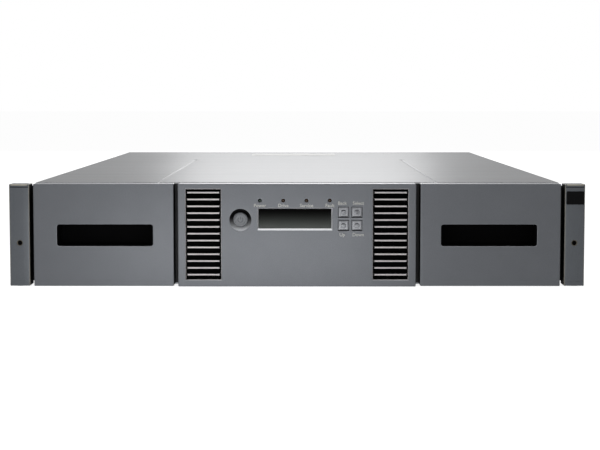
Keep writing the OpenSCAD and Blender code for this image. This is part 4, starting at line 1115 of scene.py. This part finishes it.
@dataclass
class Controls:
    """The power button, the keys, the status lights and the printed words."""

    words: tuple[str, ...] = ("Power", "Drive", "Service", "Fault")
    word_drop: float = 5.4
    key_words: tuple[str, ...] = ("Back", "Select", "Up", "Down")
    key_word_out: float = 1.1
    key_word_over: float = 1.9
    key_word_under: float = 4.4
    letter: float = 3.9
    bold: float = 0.06
    cap: float = 5.9
    cap_step: float = 0.8
    ink: float = 0.02
    cap_clear: float = 0.35
    cap_rim: Profile = (
        (1.7, 0.12), (1.55, 0.4), (1.3, 0.4), (1.15, 0.0), (0.5, 0.0), (0.15, 0.15), (0.0, 0.5),
    )
    cap_crown: float = 0.25
    cap_flange: float = 1.2
    cap_back: tuple[float, float] = (4.9, 6.1)
    dish: float = 9.2
    dish_depth: float = 3.0
    dish_start: float = 0.25
    dish_lip: float = 0.35
    dish_curve: float = 0.75
    dish_steps: int = 10
    dish_flange: float = 0.6
    dish_back: tuple[float, float] = (1.4, 2.1)
    mark: float = 2.1
    mark_line: float = 0.3
    mark_step: float = 0.15
    mark_thick: float = 0.2
    mark_bar: float = 2.7
    mark_gap: float = 38.0
    light_step: float = 0.35
    light_dome: Profile = ((0, 0), (0.5, 0.08), (0.85, 0.35), (1, 0.8))
    key_step: float = 0.6
    key_depth: float = 2.95
    key_slope: float = 1.7
    key_mitre: float = 0.7
    flange: float = 5.2
    flange_depth: float = 1.2
    plunger: float = 2.0
    sign_step: float = 0.28
    sign_radii: tuple[float, float] = (1.15, 1.05)
    sign_thick: float = 0.5
    dome: Profile = (
        (0, 0.0), (0.8, 0.04), (1.4, 0.14), (1.9, 0.34), (2.2, 0.56), (2.35, 0.8), (0, 0.8),
    )

    def build(self) -> None:
        """Builds every control."""
        self.build_power()
        self.build_lights()
        for key, glyph in zip(FrontPanel.keys, Glyph):
            self.build_key(key, glyph)
        self.build_words()

    def build_power(self) -> None:
        """Builds the dish, the button and its mark, a ring with a bar."""
        centre = middle_of("power_button")
        centre.y = front_y()
        dish, r, deep, start = Solid(), self.dish, self.dish_depth, self.dish_start
        inner, outer, flange = self.cap + self.cap_clear, r - self.dish_lip, r + self.dish_flange
        back, near, slope = deep + self.dish_back[0], self.dish_back[1], []
        for t in (i / self.dish_steps for i in range(self.dish_steps + 1)):
            down = start + (deep - start) * t ** self.dish_curve
            slope.append((outer - (outer - inner) * t, down))
        dish.turned(centre, [
            (r, start), (r - 0.12, 0.1), *slope, (inner, back), (flange, back), (flange, near),
            (r, near), (r, start),
        ], 64)
        dish.piece("power_dish", "chassis", "front_plastic", [Look.DISH])
        cap, face, r, (near, back) = Solid(), self.cap_step, self.cap, self.cap_back
        cap.turned(centre, [
            (0, face + self.cap_crown), *((r - inset, face + deep) for inset, deep in self.cap_rim),
            (r, near), (r + self.cap_flange, near), (r + self.cap_flange, back), (0, back),
        ], 64)
        cap.piece("power_cap", "power_button", "key_plastic", [Look.BUTTON], "power_button")
        mark, wide, thick = Solid(), self.mark_line, self.mark_thick
        gap = math.radians(self.mark_gap)
        centre += Vector((0, face + self.mark_step, 0)) * MM
        turn = Matrix.Translation(centre) @ Matrix.Rotation(gap - RIGHT_ANGLE, 4, "Y")
        section = ((-wide, 0), (wide, 0), (wide, thick), (-wide, thick))
        line = [mark.bm.verts.new(turn @ (Vector((self.mark + x, y, 0)) * MM)) for x, y in section]
        mark.spin([mark.bm.faces.new(line)], centre, math.tau - 2 * gap, 28)
        low, high = Vector((-wide, 0, thick)), Vector((wide, thick, self.mark_bar))
        mark.box(centre + low * MM, centre + high * MM)
        mark.piece("power_mark", "power_button", "key_plastic", [Look.MARK])

    def build_lights(self) -> None:
        """Builds the four light pipes, the first green and the rest amber."""
        back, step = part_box("status_lights")[1].y, self.light_step
        pipes, places = Solid(), FrontPanel().lights()
        for centre, radius in places:
            r, length = radius / MM, (back - centre.y) / MM
            dome = [(r * share, step + deep) for share, deep in self.light_dome]
            pipes.turned(centre, [*dome, (r, length), (0, length)], 24)
        between = (places[0][0].x + places[1][0].x) / 2
        pipes.paint(1, lambda f: mid(f).x > between)
        finishes = [Look.GREEN, Look.AMBER]
        pipes.piece("light_pipes", "chassis", "light_pipe", finishes, "status_lights")

    def build_key(self, key: str, glyph: Glyph) -> None:
        """Builds one square key with a low round dome and its sign.

        Args:
            key: The CAD node that it stands for.
            glyph: The sign on its dome.
        """
        centre, half, (low, high) = middle_of(key), FrontPanel.key_half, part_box(key)
        y, base = low.y + self.key_step * MM, low.y + self.key_depth * MM
        foot = base + self.flange_depth * MM
        cap = Solid()
        cap.bar(centre, (half, half), y, base)
        cap.soften(cap.edges_before(y), self.key_slope, 6, 0.3)
        mitres = cap.edges_where(lambda e: self.is_mitre(e, centre), 12)
        cap.soften(mitres, self.key_mitre, 3, 0.3)
        start, middle, end = (Vector((centre.x, at, centre.z)) for at in (low.y, foot, high.y))
        cap.turned(start, list(self.dome), 32)
        cap.bar(centre, (self.flange, self.flange), base, foot)
        cap.rod(middle, end, self.plunger * MM)
        sides, turn = glyph.value
        place = Matrix.Translation(start + Vector((0, self.sign_step * MM, 0)))
        place = place @ Matrix.Rotation(math.radians(turn), 4, "Y")
        near, far = (radius * MM for radius in self.sign_radii)
        sign = bmesh.ops.create_cone(
            cap.bm, cap_ends=True, segments=sides, radius1=near, radius2=far,
            depth=self.sign_thick * MM, matrix=place @ Matrix.Rotation(RIGHT_ANGLE, 4, "X"),
        )
        for face in faces_of(sign["verts"]):
            face.material_index = 1
        # Downward-facing faces of the cap take the darker grey: painted shade on the lower slopes.
        cap.paint(2, lambda f: f.normal.z < -0.25 and f.material_index == 0 and mid(f).y < base)
        name = key.replace("_key", "_button")
        cap.piece(name, key, "key_plastic", [Look.KEY, Look.MARK, Look.KEY_PAINTED_SHADE], key)

    @staticmethod
    def is_mitre(edge: BMEdge, centre: Vector) -> bool:
        """Returns whether an edge runs along a corner of a square key."""
        offsets = [v.co - centre for v in edge.verts]
        return all(abs(abs(o.x) - abs(o.z)) < 0.01 * MM for o in offsets)

    def build_words(self) -> None:
        """Prints the word of each light and key."""
        for word, (centre, _) in zip(self.words, FrontPanel().lights()):
            self.word(word, centre.x, centre.z - self.word_drop * MM)
        half = FrontPanel.key_half
        for number, (word, key) in enumerate(zip(self.key_words, FrontPanel.keys)):
            outward = self.key_word_out if number % 2 else -self.key_word_out
            lift = half + self.key_word_over if number < 2 else -half - self.key_word_under
            centre = middle_of(key)
            self.word(word, centre.x + outward * MM, centre.z + lift * MM)

    def word(self, text: str, x: float, z: float) -> None:
        """Prints one word on the middle panel.

        Args:
            text: The word.
            x: Its middle across the panel.
            z: The height of its base line.
        """
        curve = bpy.data.curves.new(text, "FONT")
        curve.body, curve.size, curve.align_x = text, self.letter * MM, "CENTER"
        curve.extrude, curve.offset, curve.resolution_u = self.ink * MM, self.bold * MM, 3
        source = linked(text, curve)
        solid = source.evaluated_get(bpy.context.evaluated_depsgraph_get())
        mesh = bpy.data.meshes.new_from_object(solid)
        place = Matrix.Translation((x, front_y() - self.ink / 2 * MM, z))
        mesh.transform(place @ Matrix.Rotation(RIGHT_ANGLE, 4, "X"))
        bpy.data.objects.remove(source)
        mesh.materials.clear()
        mesh.materials.append(Look.PRINT.material())
        made = linked("word_" + text.lower(), mesh)
        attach(made, "chassis")


@dataclass
class EarCovers:
    """The moulded covers of the two rack ears, with the blank badge."""

    wall: float = 2.0
    width: float = 17.0
    crown: float = 1.3
    strips: int = 8
    chamfer: float = 1.3
    top_round: float = 1.6
    side_round: float = 0.45
    foot_round: float = 1.8
    top_lip: float = 2.1
    foot_lip: float = 3.4
    recess: float = 0.55
    # Height of a band under the top lip that is painted black: a painted shadow line, not a cut
    # groove.
    groove: float = 0.7
    hole_in: float = 8.75
    hole_z: float = 36.8
    bush: float = 2.6
    bore: float = 1.95
    bore_depth: float = 3.0
    bush_back: float = 5.0
    bush_mouth: float = 0.75
    bush_in: tuple[float, float] = (0.25, 0.55)
    bush_out: tuple[float, float] = (0.15, 0.5)
    bush_side: float = 0.65
    shade: float = 2.0
    badge_corner: float = 0.5
    badge_edge: float = 0.25

    def build(self) -> None:
        """Builds both covers, the bushes of their driver holes and the badge."""
        low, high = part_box("ear_covers")
        width, into = self.width * MM, self.hole_in * MM
        self.cover("left_ear", low, Vector((low.x + width, high.y, high.z)), low.x + into)
        self.cover("right_ear", Vector((high.x - width, low.y, low.z)), high, high.x - into)
        badge, (low, high) = Solid(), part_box("badge_plate")
        badge.box(low, high)
        badge.soften(badge.edges_along(1), self.badge_corner, 3)
        badge.soften(badge.edges_before(low.y), self.badge_edge, 2)
        badge.piece("blank_badge", "chassis", "badge_black", [Look.BADGE], "badge_plate")

    def cover(self, name: str, low: Vector, high: Vector, hole_x: float) -> None:
        """Builds one cover and its bush.

        Args:
            name: The start of the pieces' names.
            low: The cover's lowest corner.
            high: The cover's highest corner.
            hole_x: Where the driver hole is across the library.
        """
        low = low + Vector((0, self.recess * MM, 0))
        plate, r = Plate(low, high, self.wall), self.bush
        hole = Vector((hole_x, low.y, self.hole_z * MM))
        plate.opening(hole, *[r * MM] * 3)
        for i in range(1, self.strips):
            plate.slice(Vector((low.x + i * self.width * MM / self.strips, 0, 0)), Axis.X.vector())
        plate.thicken()
        middle, half, front = (low.x + high.x) / 2, self.width / 2 * MM, low.y + self.wall / 2 * MM
        for v in plate.bm.verts:
            if v.co.y < front:
                v.co.y += self.crown * MM * ((v.co.x - middle) / half) ** 2
        plate.soften(plate.outline_corners(), self.chamfer, 2)
        # The top bevel takes the lighter edge tone strongly (2.4): a painted highlight along the
        # top of each ear.
        for axis, levels, width, steps, rub_and_highlight in (
            (2, (high.z,), self.top_round, 5, 2.4),
            (2, (low.z,), self.foot_round, 3, 0.0),
            (0, (low.x, high.x), self.side_round, 4, 0.2),
        ):
            edges = plate.edges_where(lambda e: all(v.co.y < front for v in e.verts), 45)
            plate.soften([e for e in edges if self.lies_at(e, axis, levels)], width, steps, rub_and_highlight)
        top, foot = high.z - self.top_lip * MM, low.z + self.foot_lip * MM
        self.raise_lip(plate, top, 1, front)
        self.raise_lip(plate, foot, -1, front)
        plate.shade_sides(self.shade)
        # The band under the top lip is painted black as a painted shadow line beneath the lip.
        below, finishes = top - self.groove * MM, [Look.EAR, Look.PAINTED_SHADE]
        plate.slice(Vector((0, 0, below)), Axis.Z.vector())
        plate.paint(1, lambda f: below < mid(f).z < top and mid(f).y < front)
        plate.piece(name + "_cover", "chassis", "front_plastic", finishes, "ear_covers")
        ring, b, deep, back = Solid(), self.bore, self.bore_depth, self.bush_back
        (more, inner), (less, outer) = self.bush_in, self.bush_out
        ring.turned(hole, [
            (0, deep), (b, deep), (b, self.bush_mouth), (b + more, inner), (r - less, outer),
            (r, self.bush_side), (r, back), (0, back), (0, deep),
        ], 32)
        # The bore's floor is painted black: painted shade inside the driver hole.
        floor = hole + Vector((0, deep * MM, 0))
        ring.paint(1, lambda f: (mid(f) - floor).length < deep * MM)
        ring.piece(name + "_bush", "chassis", "screw_steel", [Look.BUSH, Look.PAINTED_SHADE])

    @staticmethod
    def lies_at(edge: BMEdge, axis: int, levels: tuple[float, ...]) -> bool:
        """Returns whether both ends of an edge lie at one of some levels of X, Y or Z."""
        return all(min(abs(v.co[axis] - level) for level in levels) < MERGE for v in edge.verts)

    def raise_lip(self, plate: Plate, edge: float, way: int, front: float) -> None:
        """Brings the part of the front above or below a height forward.

        Args:
            plate: The cover so far.
            edge: The height at which the lip starts.
            way: 1 for the part above it, -1 for the part below it.
            front: The Y that the front's faces are ahead of.
        """
        plate.slice(Vector((0, 0, edge)), Axis.Z.vector())
        plate.bm.normal_update()
        faces = [f for f in plate.bm.faces if f.normal.y < -0.2 and mid(f).y < front]
        faces = [f for f in faces if (mid(f).z - edge) * way > 0]
        plate.push(faces, Vector((0, -self.recess * MM, 0)))


# ---------- chassis ----------


@dataclass
class TopCover:
    """The sheet cover with its two pressed grooves, its notches and its blank label."""

    sheet: float = 1.2
    bend: float = 1.4
    groove_x: float = 117.4
    groove_w: float = 3.0
    groove_depth: float = 0.5
    groove_run: float = 466.0
    fade: float = 6.0
    notch: float = 8.0
    notch_tip: float = 1.0
    notch_slant: tuple[float, float] = (9.0, 4.0)
    label: tuple[float, float, float] = (103.0, 65.0, 0.15)
    label_corner: float = 2.5
    label_place: tuple[float, float] = (-7.0, 269.0)

    def build(self) -> None:
        """Builds the folded sheet and the label."""
        low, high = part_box("top_cover")
        cover = Solid()
        bm = cover.bm
        line = [bm.verts.new((x, low.y, z)) for x, z in self.section(low, high)]
        edges = [bm.edges.new(pair) for pair in zip(line, line[1:])]
        end = low.y + self.groove_run * MM
        for y, pressed in ((end - self.fade * MM, True), (end, False), (high.y, False)):
            made = bmesh.ops.extrude_edge_only(bm, edges=edges)
            far = new_verts(made)
            for v in far:
                v.co.y = y
                if not pressed and v.co.z > high.z - MM:
                    v.co.z = high.z
            edges = [e for e in made["geom"] if isinstance(e, BMEdge)]
            edges = [e for e in edges if all(v in far for v in e.verts)]
        for side in (-1, 1):
            self.cut_notch(cover, Vector((side * self.groove_x * MM, end, high.z)))
        folds = cover.edges_where(lambda e: all(self.at_fold(v.co, high) for v in e.verts), -1)
        cover.soften(folds, self.bend, 5, 0.3)
        cover.weld()
        bmesh.ops.recalc_face_normals(bm, faces=bm.faces)
        if sum(f.normal.z * f.calc_area() for f in bm.faces) < 0:
            bmesh.ops.reverse_faces(bm, faces=bm.faces)
        bmesh.ops.solidify(bm, geom=bm.faces[:], thickness=self.sheet * MM)
        cover.piece("cover_sheet", "chassis", "galvanised_steel", [Look.COVER], "top_cover")
        self.build_label(high.z)

    @staticmethod
    def at_fold(co: Vector, high: Vector) -> bool:
        """Returns whether a point lies on one of the two folds."""
        return abs(abs(co.x) - high.x) < MERGE and abs(co.z - high.z) < MERGE

    def section(self, low: Vector, high: Vector) -> list[tuple[float, float]]:
        """Draws the sheet's section across the library.

        Args:
            low: The sheet's lowest corner.
            high: The sheet's highest corner.

        Returns:
            X and Z of its points, from the left flange to the right one.
        """
        half, slant = self.groove_w / 2 * MM, self.groove_depth * MM
        bottom, points = high.z - slant, [(low.x, low.z), (low.x, high.z)]
        for x in (-self.groove_x * MM, self.groove_x * MM):
            points += [(x - half, high.z), (x - half + slant, bottom)]
            points += [(x + half - slant, bottom), (x + half, high.z)]
        return [*points, (high.x, high.z), (high.x, low.z)]

    def cut_notch(self, cover: Solid, end: Vector) -> None:
        """Cuts the three-cornered notch behind the end of a groove.

        Args:
            cover: The sheet.
            end: The groove's end.
        """
        size, tip, (across, along) = self.notch * MM, -self.notch_tip * MM, self.notch_slant
        sides = [(end + Vector((0, size, 0)), Axis.Y.vector())]
        for way in (-1, 1):
            slant = Vector((way * across, -along, 0)).normalized()
            sides.append((end + Vector((0, tip, 0)), slant))
        for point, normal in sides:
            near = []
            for face in self.top(cover, end.z):
                offsets = [v.co.x - end.x for v in face.verts]
                if min(offsets) < size and max(offsets) > -size:
                    near.append(face)
            cover.slice(point, normal, near)
        faces = self.top(cover, end.z)
        cover.remove([f for f in faces if all((mid(f) - p).dot(n) < 0 for p, n in sides)])

    def top(self, cover: Solid, z: float) -> list[BMFace]:
        """Returns the faces of the sheet's flat top."""
        return [f for f in cover.bm.faces if abs(mid(f).z - z) < self.groove_depth * MM + MERGE]

    def build_label(self, top: float) -> None:
        """Lays a thin blank label on the cover.

        Args:
            top: The Z of the cover's top.
        """
        (x, y), (w, d, h) = self.label_place, self.label
        label, lift = Solid(), Vector((0, 0, top))
        low, high = Vector((x - w / 2, y - d / 2, 0)), Vector((x + w / 2, y + d / 2, h))
        label.box(low * MM + lift, high * MM + lift)
        label.soften(label.edges_along(2), self.label_corner, 4)
        label.piece("blank_label", "chassis", "key_plastic", [Look.PAPER])


# ---------- rear ----------


@dataclass
class Thumbscrew:
    """One captive screw of the drive sled, with its knurled head."""

    side: str
    ridges: int = 24
    knurl: float = 0.35
    shank: float = 1.6
    collar: float = 6.2
    neck: float = 3.2
    dip: float = 0.8
    dip_radii: tuple[float, float] = (2.9, 2.6)
    chamfer: float = 0.6
    end_chamfer: tuple[float, float] = (0.7, 1.4)
    slot: tuple[float, float] = (1.9, 0.3)
    slot_half: float = 0.05

    def build(self) -> None:
        """Turns the screw, presses the knurl into its head and paints a dark cross in its end as
        the painted shade of a cross recess.
        """
        node = f"{self.side}_thumbscrew"
        low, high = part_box(node)
        centre, r, length = middle_of(node), (high.x - low.x) / 2 / MM, (high.y - low.y) / MM
        centre.y = low.y
        screw, shank, collar, neck, cut = Solid(), self.shank, self.collar, self.neck, self.chamfer
        head, end = collar + 1.0, length - self.dip
        screw.turned(centre, [
            (0, 0), (shank, 0), (shank, collar), (neck, collar), (neck, head), (r - cut, head),
            (r, head + cut), (r, length - self.end_chamfer[1]), (r - self.end_chamfer[0], length),
            (self.dip_radii[0], length), (self.dip_radii[1], end), (0, end),
        ], 2 * self.ridges)
        for v in screw.bm.verts:
            out = Vector((v.co.x - centre.x, 0, v.co.z - centre.z))
            number = round(math.atan2(out.z, out.x) / math.tau * 2 * self.ridges)
            if out.length > (r - 0.5) * MM and number % 2:
                v.co -= out.normalized() * self.knurl * MM
        # Thin dark boxes in the end's dip: a painted-shade cross that stands in for a cross recess.
        end = Vector((centre.x, high.y - self.dip * MM, centre.z))
        for wide, tall in (self.slot, self.slot[::-1]):
            half = Vector((wide, self.slot_half, tall)) * MM
            for face in faces_of(screw.box(end - half, end + half)):
                face.material_index = 1
        screw.piece(f"{self.side}_knurled_screw", node, "screw_steel", [Look.ROD, Look.PAINTED_SHADE], node)


@dataclass
class FanGuard:
    """The wire guard and the four screws on the outside of one fan."""

    node: str
    body: str
    name: str
    rings: tuple[float, ...]
    screws: float
    plate: float = 1.5
    wire: float = 0.6
    bars: float = 1.1
    socket: float = 0.95
    head: Profile = (
        (0, 0.8), (1.0, 0.8), (1.05, 1.3), (1.8, 1.1), (2.4, 0.6), (2.6, 0), (0, 0),
    )

    def build(self) -> None:
        """Builds the rings, the cross bars and the screws."""
        face = middle_of(self.node)
        face.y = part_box(self.node)[1].y + self.plate * MM
        guard, wire, screws = Solid(), self.wire, self.screws * MM
        turns = [math.tau * i / 8 for i in range(9)]
        circle = [(wire * math.cos(a), wire * math.sin(a)) for a in turns]
        for radius in self.rings:
            guard.turned(face, [(radius + x, wire + y) for x, y in circle])
        if self.rings:
            level = face + Vector((0, wire, 0)) * MM
            for way in (Axis.X.vector(), Axis.Z.vector()):
                reach = way * max(self.rings) * MM
                guard.rod(level - reach, level + reach, wire * self.bars * MM, 10)
        for x in (-screws, screws):
            for z in (-screws, screws):
                place = face + Vector((x, 0, z))
                guard.turned(place, list(self.head), 20)
                place.y += self.head[0][1] * MM
                # The floor of each screw's socket is painted black: painted shade in the recess.
                guard.paint(1, lambda f: (mid(f) - place).length < self.socket * MM)
        guard.piece(self.name, self.body, "screw_steel", [Look.ROD, Look.PAINTED_SHADE])


@dataclass
class InletPins:
    """The three flat pins of the power inlet."""

    gap: float = 6.5
    depth: float = 12.0
    inset: float = 3.0
    half: tuple[float, float] = (1.0, 2.0)
    stagger: float = 1.2
    tip: float = 0.6

    def build(self) -> None:
        """Builds the pins inside the inlet's cavity."""
        middle, pins = middle_of("power_inlet"), Solid()
        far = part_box("power_inlet")[1].y - self.inset * MM
        for number in (-1, 0, 1):
            lift = -self.stagger if number else self.stagger
            place = middle + Vector((number * self.gap, 0, lift)) * MM
            pins.bar(place, self.half, far - self.depth * MM, far)
        tips = pins.edges_where(lambda e: all(v.co.y > far - MERGE for v in e.verts))
        pins.soften(tips, self.tip, 2)
        pins.piece("inlet_pins", "power_supply", "screw_steel", [Look.ROD])


CARRIED = {
    Look.ZINC: ("base_tray", "rear_panel", "controller_plate", "psu_case"),
    Look.STEEL: ("drive_sled", "drive_case"),
    Look.MAGAZINE: ("left_magazine_shell", "right_magazine_shell"),
    Look.ALUMINIUM: ("carriage", "lift_platform"),
    Look.ROD: ("travel_rails", "left_lift_screw", "right_lift_screw", "lift_pulley"),
    Look.SCREW: ("case_screws", "drive_mechanism"),
    # The front bulkhead takes the black as painted shade behind the gaps.
    Look.BLACK_BRACKET_AND_GAP_SHADE: ("ear_brackets", "front_bulkhead"),
    Look.DARK: ("magazine_guides", "left_slot_dividers", "right_slot_dividers", "drive_door"),
    Look.BLACK: (
        "barcode_reader", "power_inlet", "drive_fan_frame", "drive_fan_rotor",
        "psu_fan_frame", "psu_fan_rotor",
    ),
    Look.BOARD: ("control_board", "controller_board"),
    Look.GEAR: ("gear_rack", "travel_pinion"),
    Look.ACETAL: ("left_latch", "right_latch", "gripper"),
    Look.PICKER: ("picker_frame",),
    Look.MOTOR: ("robot_motors", "turn_motor", "latch_solenoids"),
    Look.RUBBER: ("lift_belt",),
    Look.PORT: ("io_ports", "drive_ports"),
}


def dress_carried_nodes() -> None:
    """Gives every CAD node that stays its finish."""
    for finish, nodes in CARRIED.items():
        for node in nodes:
            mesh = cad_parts[node].data
            mesh.materials.clear()
            mesh.materials.append(finish.material())
            LOG.info("%s takes %s", node, finish.name)


# ---------- studio ----------


@dataclass
class Lamp:
    """One soft rectangular light that faces a point."""

    name: str
    place: Colour
    size: tuple[float, float]
    power: float
    aim: Colour

    def hang(self) -> None:
        """Hangs the light, unseen by the camera itself."""
        data = bpy.data.lights.new(self.name, "AREA")
        data.shape, data.energy = "RECTANGLE", self.power
        data.size, data.size_y = self.size
        lamp = linked(self.name, data)
        lamp.location = self.place
        back = Vector(self.place) - Vector(self.aim)
        lamp.rotation_euler = back.to_track_quat("Z", "Y").to_euler()
        lamp.visible_camera = False


@dataclass
class Studio:
    """The pale floor, the soft lights and the camera."""

    place: Colour = (0.005416, -1.701358, 0.159488)
    pitch: float = 4.655
    yaw: float = 0.125
    lens: float = 94.94
    sensor: float = 36.0
    floor: float = 30.0
    floor_tone: float = 0.8
    surroundings: float = 0.15
    floor_glow: float = 0.86
    lamps: tuple[Lamp, ...] = (
        Lamp("overhead", (0.0, -0.45, 1.2), (0.9, 0.5), 3.1, (0.0, -0.38, 0.05)),
        Lamp("upper_key", (-0.3, -0.72, 0.5), (0.15, 0.15), 0.42, (-0.04, -0.38, 0.03)),
        Lamp("low_front", (-0.05, -0.57, 0.012), (0.25, 0.04), 0.175, (-0.04, -0.38, 0.05)),
        Lamp("top_glint", (0.0, 2.6, 1.0), (0.7, 1.0), 10.7, (0.0, 0.0, 0.09)),
        Lamp("behind", (0.6, 1.9, 1.1), (1.0, 1.0), 0.5, (0.0, 0.3, 0.05)),
    )

    def build(self) -> None:
        """Builds the studio."""
        self.build_camera()
        self.build_world()
        self.build_floor()
        for lamp in self.lamps:
            lamp.hang()
        bpy.context.scene.view_settings.view_transform = "Standard"

    def build_camera(self) -> None:
        """Sets up the camera in front of the library."""
        data = bpy.data.cameras.new("camera")
        data.lens, data.sensor_width = self.lens, self.sensor
        camera = linked("camera", data)
        camera.location = self.place
        camera.rotation_euler = (math.radians(90 - self.pitch), 0, math.radians(self.yaw))
        bpy.context.scene.camera = camera

    @staticmethod
    def seen(n: Nodes) -> Socket:
        """Tells the rays that an eye or a reflection sees from the rays that only light.

        Args:
            n: The nodes of the world or of the material.

        Returns:
            One for camera, reflected and refracted rays, and nought for the others.
        """
        path = n.add("LightPath").outputs
        direct = n.math("ADD", path["Is Camera Ray"], path["Is Glossy Ray"])
        return n.math("ADD", direct, path["Is Transmission Ray"])

    def build_world(self) -> None:
        """Makes the surroundings white to the eye and softer as a light."""
        world = bpy.data.worlds.new("studio")
        world.use_nodes = True
        bpy.context.scene.world = world
        n = Nodes(world.node_tree)
        level = n.spread(self.seen(n), self.surroundings, 1.0)
        n.fill(n.tree.nodes["Background"], {"Strength": level, "Color": WHITE})

    def build_floor(self) -> None:
        """Lays a pale floor that looks white and keeps the shadow."""
        solid = Solid()
        bmesh.ops.create_grid(solid.bm, x_segments=1, y_segments=1, size=self.floor / 2)
        floor = linked("floor", solid.mesh("floor"))
        made = bpy.data.materials.new("pale_floor")
        made.use_nodes = True
        n = Nodes(made.node_tree)
        n.tree.nodes.remove(n.tree.nodes["Principled BSDF"])
        matt = n.add("BsdfDiffuse", {"Color": (self.floor_tone,) * 3 + (1.0,)}).outputs[0]
        glow = n.add("Emission", {"Color": WHITE, "Strength": self.floor_glow}).outputs[0]
        lit = n.add("AddShader", {0: matt, 1: glow}).outputs[0]
        mixed = n.add("MixShader", {0: self.seen(n), 1: matt, 2: lit}).outputs[0]
        n.fill(n.tree.nodes["Material Output"], {"Surface": mixed})
        floor.data.materials.append(made)


def main() -> None:
    """Builds the studio and every sub-assembly in order."""
    logging.basicConfig(level=logging.INFO, format="%(name)s: %(message)s")
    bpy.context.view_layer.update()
    Studio().build()
    dress_carried_nodes()
    for side in ("left", "right"):
        MagazineFront(side).build()
        Thumbscrew(side).build()
    guards = (
        FanGuard("drive_fan_frame", "drive_sled", "drive_fan_guard", (4.5, 9.0, 13.5), 16.0),
        FanGuard("psu_fan_frame", "power_supply", "supply_fan_screws", (), 25.0),
    )
    front = (FrontPanel(), VentGrilles(), Display(), Controls(), EarCovers())
    for part in (*front, TopCover(), InletPins(), *guards):
        part.build()
    bpy.context.view_layer.update()


if __name__ == "__main__":
    main()
